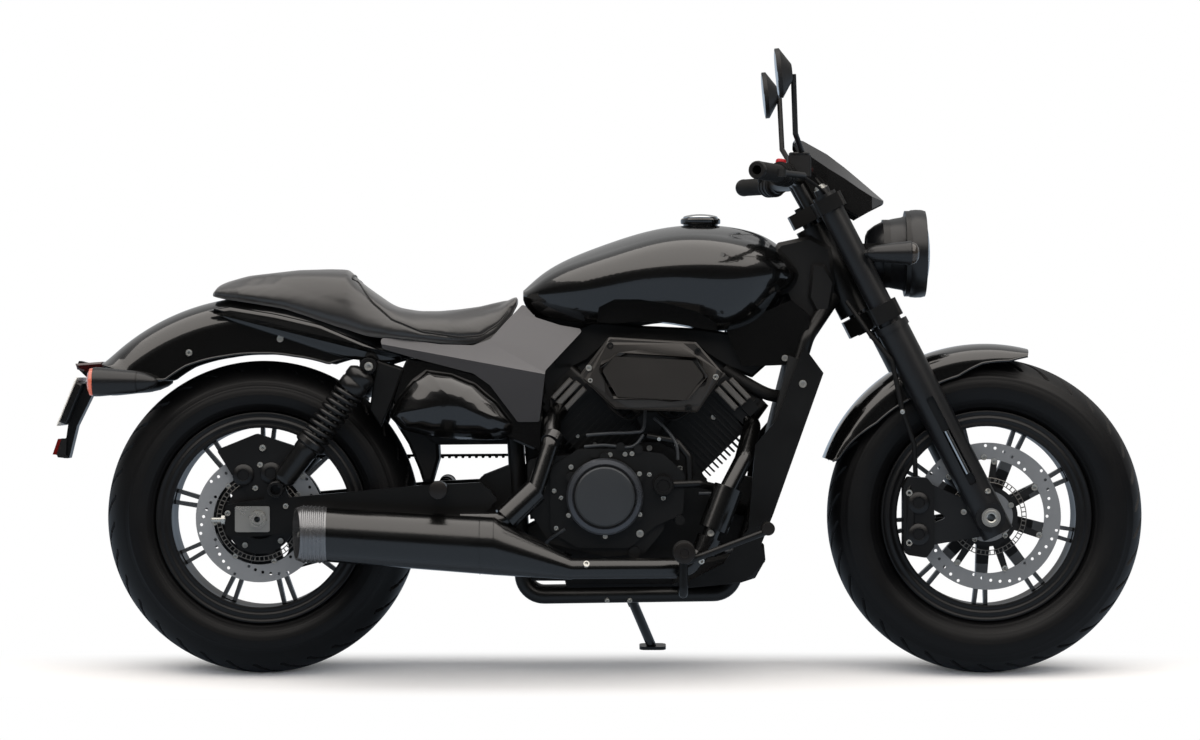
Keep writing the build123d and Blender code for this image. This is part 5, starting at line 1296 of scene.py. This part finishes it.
# %% Footrest sleeves and ends
rider_peg_at = (117, 0, 260)
peg_ends = [  # the peg's line across the machine, segments, profile from the middle outward
    (rider_peg_at, 36, [(0, 344), (20, 344), (21.4, 346), (21, 349), (16, 350.5), (9, 350), (8, 348.5),
                        (0, 348.5)]),
    ((-372, 0, 382), 32, [(0, 269), (17, 269), (18, 271), (17.6, 274), (12, 276), (0, 276)]),
    ((284, 0, 306), 28, [(0, 299), (12.6, 299), (13.6, 301), (12, 304), (0, 304.5)])]
sleeve_pitch = 8
sleeves, ends = [], []
for side in (-1, 1):
    profile = [(20.8, 268)]
    for start in range(270, 342, sleeve_pitch):
        profile += [(20.8, start), (22.4, start + 1), (22.4, start + 5), (20.8, start + 6)]
    profile += [(20.8, 341), (20.8, 268)]
    sleeves.append(turning(profile, rider_peg_at, (0, side, 0), 32))
    for place, segments, end in peg_ends:
        ends.append(turning(end, place, (0, side, 0), segments))
make("peg_sleeves", *joined(*sleeves), finishes["grip_rubber"], "chassis", "grip_rubber", 30)
make("peg_ends", *joined(*ends), extra["peg_metal"], "chassis", "axle_steel", 30)

# %% [markdown]
# Cooling fins on the radiator's face: one thin bar, copied down the slope of the core.

# %% Radiator fins
core_top, core_low = Vector((360, 0, 640)), Vector((274, 0, 306))
slope = (core_low - core_top).normalized()
ahead_of_core = Vector((-slope.z, 0, slope.x)).normalized()
ahead_of_core = ahead_of_core if ahead_of_core.x > 0 else -ahead_of_core
fin_bar = solid_mesh("fin_bar", *slab([(-0.7, -1.6), (0.7, -1.6), (0.7, 1.6), (-0.7, 1.6)], -122, 122, 0.3),
                     upright=False)
fins, fin_pitch = [], 5.1
for index in range(1, 66):
    here = core_top + slope * (index * fin_pitch) + ahead_of_core * 0.9
    fins.append((parked(*here), leaning(ahead_of_core), leaning(slope), 1.0))
fin_paint = finish("black painted aluminium strip", "#1B1B1C", 0.4, metal=0.4, grain_mm=0.8, bump_mm=0.01)
scatter("radiator_fins", fin_bar, fins, fin_paint, "chassis", "core_black", size=0.001)

# %% [markdown]
# Fenders are pressed from one sheet: flat at the sides, with a full round shoulder into the crown, and a
# rolled bead along the lower edge that stiffens it. Each is swept about its wheel's axle. The lower edge is a
# line of angle and radius, and the section runs from it up the side, over the shoulder and down again, then
# back inside.

# %% Fenders
# Two powers say how square the shoulder is, and the last number how deep the edge stays at the tips.
side_power, top_power, least_drop = 0.62, 0.95, 6


def fender(name, middle, half, crown, shoulder, edge_line, replaced, wall=3.5, stations=120, arc=26):
    """A swept fender whose lower edge follows (angle, radius) points."""
    first, last = edge_line[0][0], edge_line[-1][0]

    def lower_edge(angle):
        """The radius of the lower edge at an angle; it stays a little under the crown."""
        return min(along(edge_line, angle), crown - least_drop)

    rows = []
    for angle in np.linspace(first, last, stations):
        start = lower_edge(angle)
        bend = max(start, shoulder)
        line = [(half, start), (half, (start + bend) / 2), (half, bend)]
        line += [(half * math.cos(t) ** side_power, bend + (crown - bend) * math.sin(t) ** top_power)
                 for t in np.linspace(0.04, math.pi / 2, arc)]
        full = line + [(-y, r) for y, r in reversed(line[:-1])]
        inner = [(y * (half - wall) / half, max(start, r - wall)) for y, r in reversed(full)]
        rows.append((math.radians(angle), full + inner))
    count = len(rows[0][1])
    points = [(middle.x + r * math.cos(a), y, middle.z + r * math.sin(a)) for a, line in rows
              for y, r in line]
    faces = strips(stations, count) + end_strips(stations, count)
    shell_piece = make(name, points, faces, finishes["gloss_black"], body_of_node[replaced],
                       "gloss_black", 50)
    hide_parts(replaced)
    beads = [[(middle.x + lower_edge(angle) * math.cos(math.radians(angle)), side * half,
               middle.z + lower_edge(angle) * math.sin(math.radians(angle)))
              for angle in np.linspace(first, last, 90)] for side in (-1, 1)]
    tube(name + "_bead", beads, 2.6, finishes["gloss_black"], body_of_node[replaced], "gloss_black", 8, 1)


rear_edge = [(48, 436), (51, 402), (60, 379), (66, 344), (78, 337), (90.5, 335), (102.5, 337), (116, 344),
             (124.5, 341), (129, 361), (133, 404), (135.8, 446)]
fender("rear_fender_shell", rear_axle_mm, 104, 452, 392, rear_edge, "rear_fender", wall=4.5)
front_edge = [(76, 336), (82, 320), (92, 312), (102, 292), (122, 286), (140, 296), (152, 318), (159, 326),
              (160.4, 336)]
fender("front_fender_shell", front_axle_mm, 84.5, 352, 312, front_edge, "front_fender")

# %% [markdown]
# The last castings close the belly: a lower guard between the frame's rails, and the guard between the tyre
# and the battery case.

# %% Belly and rear guards
belly = slab([(-118, 176), (150, 176), (236, 188), (262, 236), (150, 262), (-100, 262),
              (-130, 230)], -54, 54, 8)
guard = slab([(-508, 562), (-384, 566), (-378, 440), (-392, 392), (-411, 392), (-420, 420), (-441, 470),
              (-472, 520)], -56, 56, 6)
make("belly_and_guard", *joined(belly, guard), case_plastic, "chassis", "black_plastic")

# %% [markdown]
# A crowned form is an outline drawn again and again, each time smaller and further out. Two covers are made
# this way: the glossy pod behind each side panel, which swells like a drop, and the air cleaner's frame,
# which rises in a bevel, rolls over a rim and falls to a groove round its pad.

# %% Crowned covers
def crowned(rows):
    """Closes outlines [(points, y)] from the first, inner row to the last, outermost one."""
    count = len(rows[0][0])
    points = [(x, y, z) for line, y in rows for x, z in line]
    ends = [tuple(range(count)), tuple(range((len(rows) - 1) * count, len(rows) * count))]
    return points, strips(len(rows), count) + ends


drop = [(-404, 624), (-350, 616), (-300, 596), (-254, 556), (-221, 512), (-224, 490), (-252, 479),
        (-330, 480), (-400, 486), (-452, 500), (-478, 528), (-462, 566), (-432, 604)]
smooth_drop = smooth_line(drop + drop[:1], 97)[:-1]
drop_middle = Vector((-344, 556))
pod_base, pod_bulge, pod_fall, pod_round = 118, 52, 2.2, 0.62


def drop_at(scale):
    """The drop drawn smaller about its middle."""
    return [tuple(drop_middle + (Vector(p) - drop_middle) * scale) for p in smooth_drop]


pods = []
for side in (-1, 1):
    rows = [(drop_at(0.96), side * 104), (smooth_drop, side * 112)]
    for scale in [math.cos(t) for t in np.linspace(0.12, 1.5, 22)]:
        rows.append((drop_at(scale), side * (pod_base + pod_bulge * (1 - scale ** pod_fall) ** pod_round)))
    pods.append(crowned(rows))
pod_shell = make("pod_shells", *joined(*pods), finishes["gloss_black"], "chassis", "gloss_black", 50)
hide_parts("side_pods")

outer = [(-32, 688), (144, 678), (200, 614), (147, 535), (-20, 542), (-92, 610)]
groove = [(-52, 620), (-19, 655), (139, 648), (168, 612), (134, 562), (-18, 561)]


def between(share):
    """An outline part of the way from the outer one to the groove."""
    return [tuple(Vector(a).lerp(Vector(b), share)) for a, b in zip(outer, groove)]


# Each step of the bevel is a share of the way to the groove and a place across.
bevel = [(0.16, -196), (0.24, -198.5), (0.72, -200), (0.84, -203), (0.95, -203.5), (1.0, -201)]
rows = [(inset(outer, 1), -176), (inset(outer, 1), -186)] + [(between(share), y) for share, y in bevel]
rows += [(inset(groove, 3), -193), (inset(groove, 30), -193)]
make("air_cleaner_frame", *crowned(rows), finishes["cleaner_black"], "chassis", "cleaner_black", 24)

# %% [markdown]
# The fuel cap is turned: a black ring sits on the tank, and a low polished dome with a rolled edge lies
# inside it. It lifts with the cap. The stay under the seat is a thin pressed cover that hides the frame's
# rail and runs out into the fender.

# %% Fuel cap and fender stays
fuel_cap_at = (157, 0, 919)
ring = turning([(0, -13), (35, -13), (35.5, 1), (40, 2.2), (41, 4), (41, 10), (39, 13), (35, 14), (33, 12),
                (0, 12)], fuel_cap_at, (0, 0, 1), 96)
cap_ring = make("fuel_cap_ring", *ring, finishes["gloss_black"], "fuel_cap", "axle_steel", 30)
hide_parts("fuel_cap")
dome = turning([(0, 11), (32, 11), (35, 13), (35.5, 15.5), (34, 17.5), (30, 19), (20, 21), (9, 22),
                (0, 22.2)], fuel_cap_at, (0, 0, 1), 96)
make("fuel_cap_dome", *dome, extra["chrome"], "fuel_cap", "axle_steel", 40)
stay = [(-846, 742), (-800, 750), (-708, 735), (-617, 714), (-540, 682), (-486, 660), (-440, 646),
        (-470, 637), (-492, 633), (-524, 639), (-560, 644), (-600, 655), (-700, 689), (-800, 721)]
smooth_stay = smooth_line(stay + stay[:1], 73)[:-1]
stays = [crowned([(smooth_stay, side * 104.5), (smooth_stay, side * 112), (inset(smooth_stay, 2), side * 118),
                  (inset(smooth_stay, 5), side * 120.6), (inset(smooth_stay, 9), side * 121.4)])
         for side in (-1, 1)]
make("fender_stays", *joined(*stays), finishes["gloss_black"], "chassis", "gloss_black", 30)

# %% [markdown]
# Small closing pieces: the pan under the engine, the shields behind the exhaust bend and the heads, fillers
# under the tank, and the case that holds the rear reflector.

# %% Pan, shields and reflector case
pan = slab([(115, 226), (237, 254), (284, 266), (287, 235), (266, 198), (235, 188), (133, 178),
            (97, 184)], -103, 52, 8)
shield = slab([(140, 262), (244, 262), (276, 300), (268, 400), (214, 410), (196, 330),
               (140, 306)], -52, 52, 5)
rear_shield = slab([(-204, 190), (-204, 300), (-150, 330), (-118, 300), (-118, 190)], -52, 52, 5)
head_shield = slab([(-196, 596), (-180, 640), (-104, 640), (-96, 580), (-124, 520), (-160, 520)], -52, 52, 5)
barrel_shield = slab([(-152, 500), (-92, 500), (-80, 430), (-152, 430)], -40, 40, 5)
fillers = [slab([(x, 604), (x, 672), (x + 72, 672), (x + 72, 604)], -40, 40, 5) for x in (-112, 160)]
make("pan_and_shields", *joined(*fillers, pan, shield, rear_shield, head_shield, barrel_shield),
     finishes["black_plastic"], "chassis", "black_plastic")
case_side = [slab([(-1163, 447), (-1143, 445), (-1141, 481), (-1152, 481)], side * 30.3, side * 33, 0.8)
             for side in (-1, 1)]
case_side.append(slab([(-1160, 442), (-1140, 440), (-1140, 445.5), (-1162, 447)], -33, 33, 0.8))
make("reflector_case", *joined(*case_side), finishes["black_plastic"], "chassis", "black_plastic")
print("covers made")

# %% [markdown]
# The fly screen is folded from three faces on each side: a flat brow, a cheek that leans out under it and
# catches the light, and an upright flank. Each row below is one section across it: its place ahead, and the
# height and half width of the brow, the fold and the lower edge. A housing for the instrument fills the space
# behind.

# %% Fly screen and instrument housing
def folded(sections, wall=3.5):
    """A folded sheet from sections of (x, (z, half width), ...), brow first, its thickness inward."""
    rows = []
    for x, *corners in sections:
        right = [(x, -y, z) for z, y in reversed(corners)]
        left = [(x, y, z) for z, y in corners]
        inner = [(px - wall * 0.5, py * (1 - wall / 90), pz - wall) for px, py, pz in reversed(right + left)]
        rows.append(right + left + inner)
    count = len(rows[0])
    return [p for row in rows for p in row], strips(len(rows), count) + end_strips(len(rows), count)


screen_rows = [(350, (1093, 40), (1087, 54), (1080, 54)), (366, (1089, 46), (1066, 73), (1048, 73)),
               (414, (1062, 50), (1032, 84), (984, 84)), (450, (1035, 48), (1010, 83), (950, 83)),
               (478, (1012, 44), (991, 76), (934, 76)), (506, (989, 34), (975, 57), (950, 57)),
               (532, (969, 10), (967, 17), (963, 17))]
brackets = [turning([(0, 0), (6, 0), (6, 62), (0, 62)], (430, side * 50, 978), (54, 0, -34), 16)
            for side in (-1, 1)]
screen_shell = make("fly_screen_shell", *joined(folded(screen_rows), *brackets), own_finish["fly_screen"],
                    "steering", slot_of["fly_screen"], 12)
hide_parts("fly_screen")
housing = slab([(352, 1066), (372, 1072), (410, 1052), (428, 1012), (462, 960), (446, 930), (380, 948),
                (356, 980), (362, 1020)], -46, 46, 7)
make("instrument_housing", *housing, case_plastic, "steering", "black_plastic")

# %% [markdown]
# The front signals are small bells on short arms, wider toward the glass.

# %% Front signals
bell = [(0, 0), (8, 0), (12, 5), (16, 18), (19, 38), (21.6, 60), (23.8, 78), (25, 83), (25.2, 88),
        (24, 90), (0, 90)]
bells = []
for side in (-1, 1):
    bells.append(turning(bell, (490, side * 150, 857), (1, 0, 0), 40))
    arm_start, arm = Vector((470, side * 118, 857)), Vector((50, side * 30, 0))
    bells.append(turning([(0, 0), (8, 0), (8, arm.length), (0, arm.length)], arm_start, arm, 20))
bell_bodies = make("front_signal_bodies", *joined(*bells), lamp_paint, "steering",
                   slot_of["front_indicators"], 30)
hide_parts("front_indicators")

# %% [markdown]
# Last, the triangles of every mesh in the scene are counted.

# %% Triangles in all
total = sum(len(p.vertices) - 2 for piece in bpy.data.objects if piece.type == "MESH"
            for p in piece.data.polygons)
print("triangles in all", total)
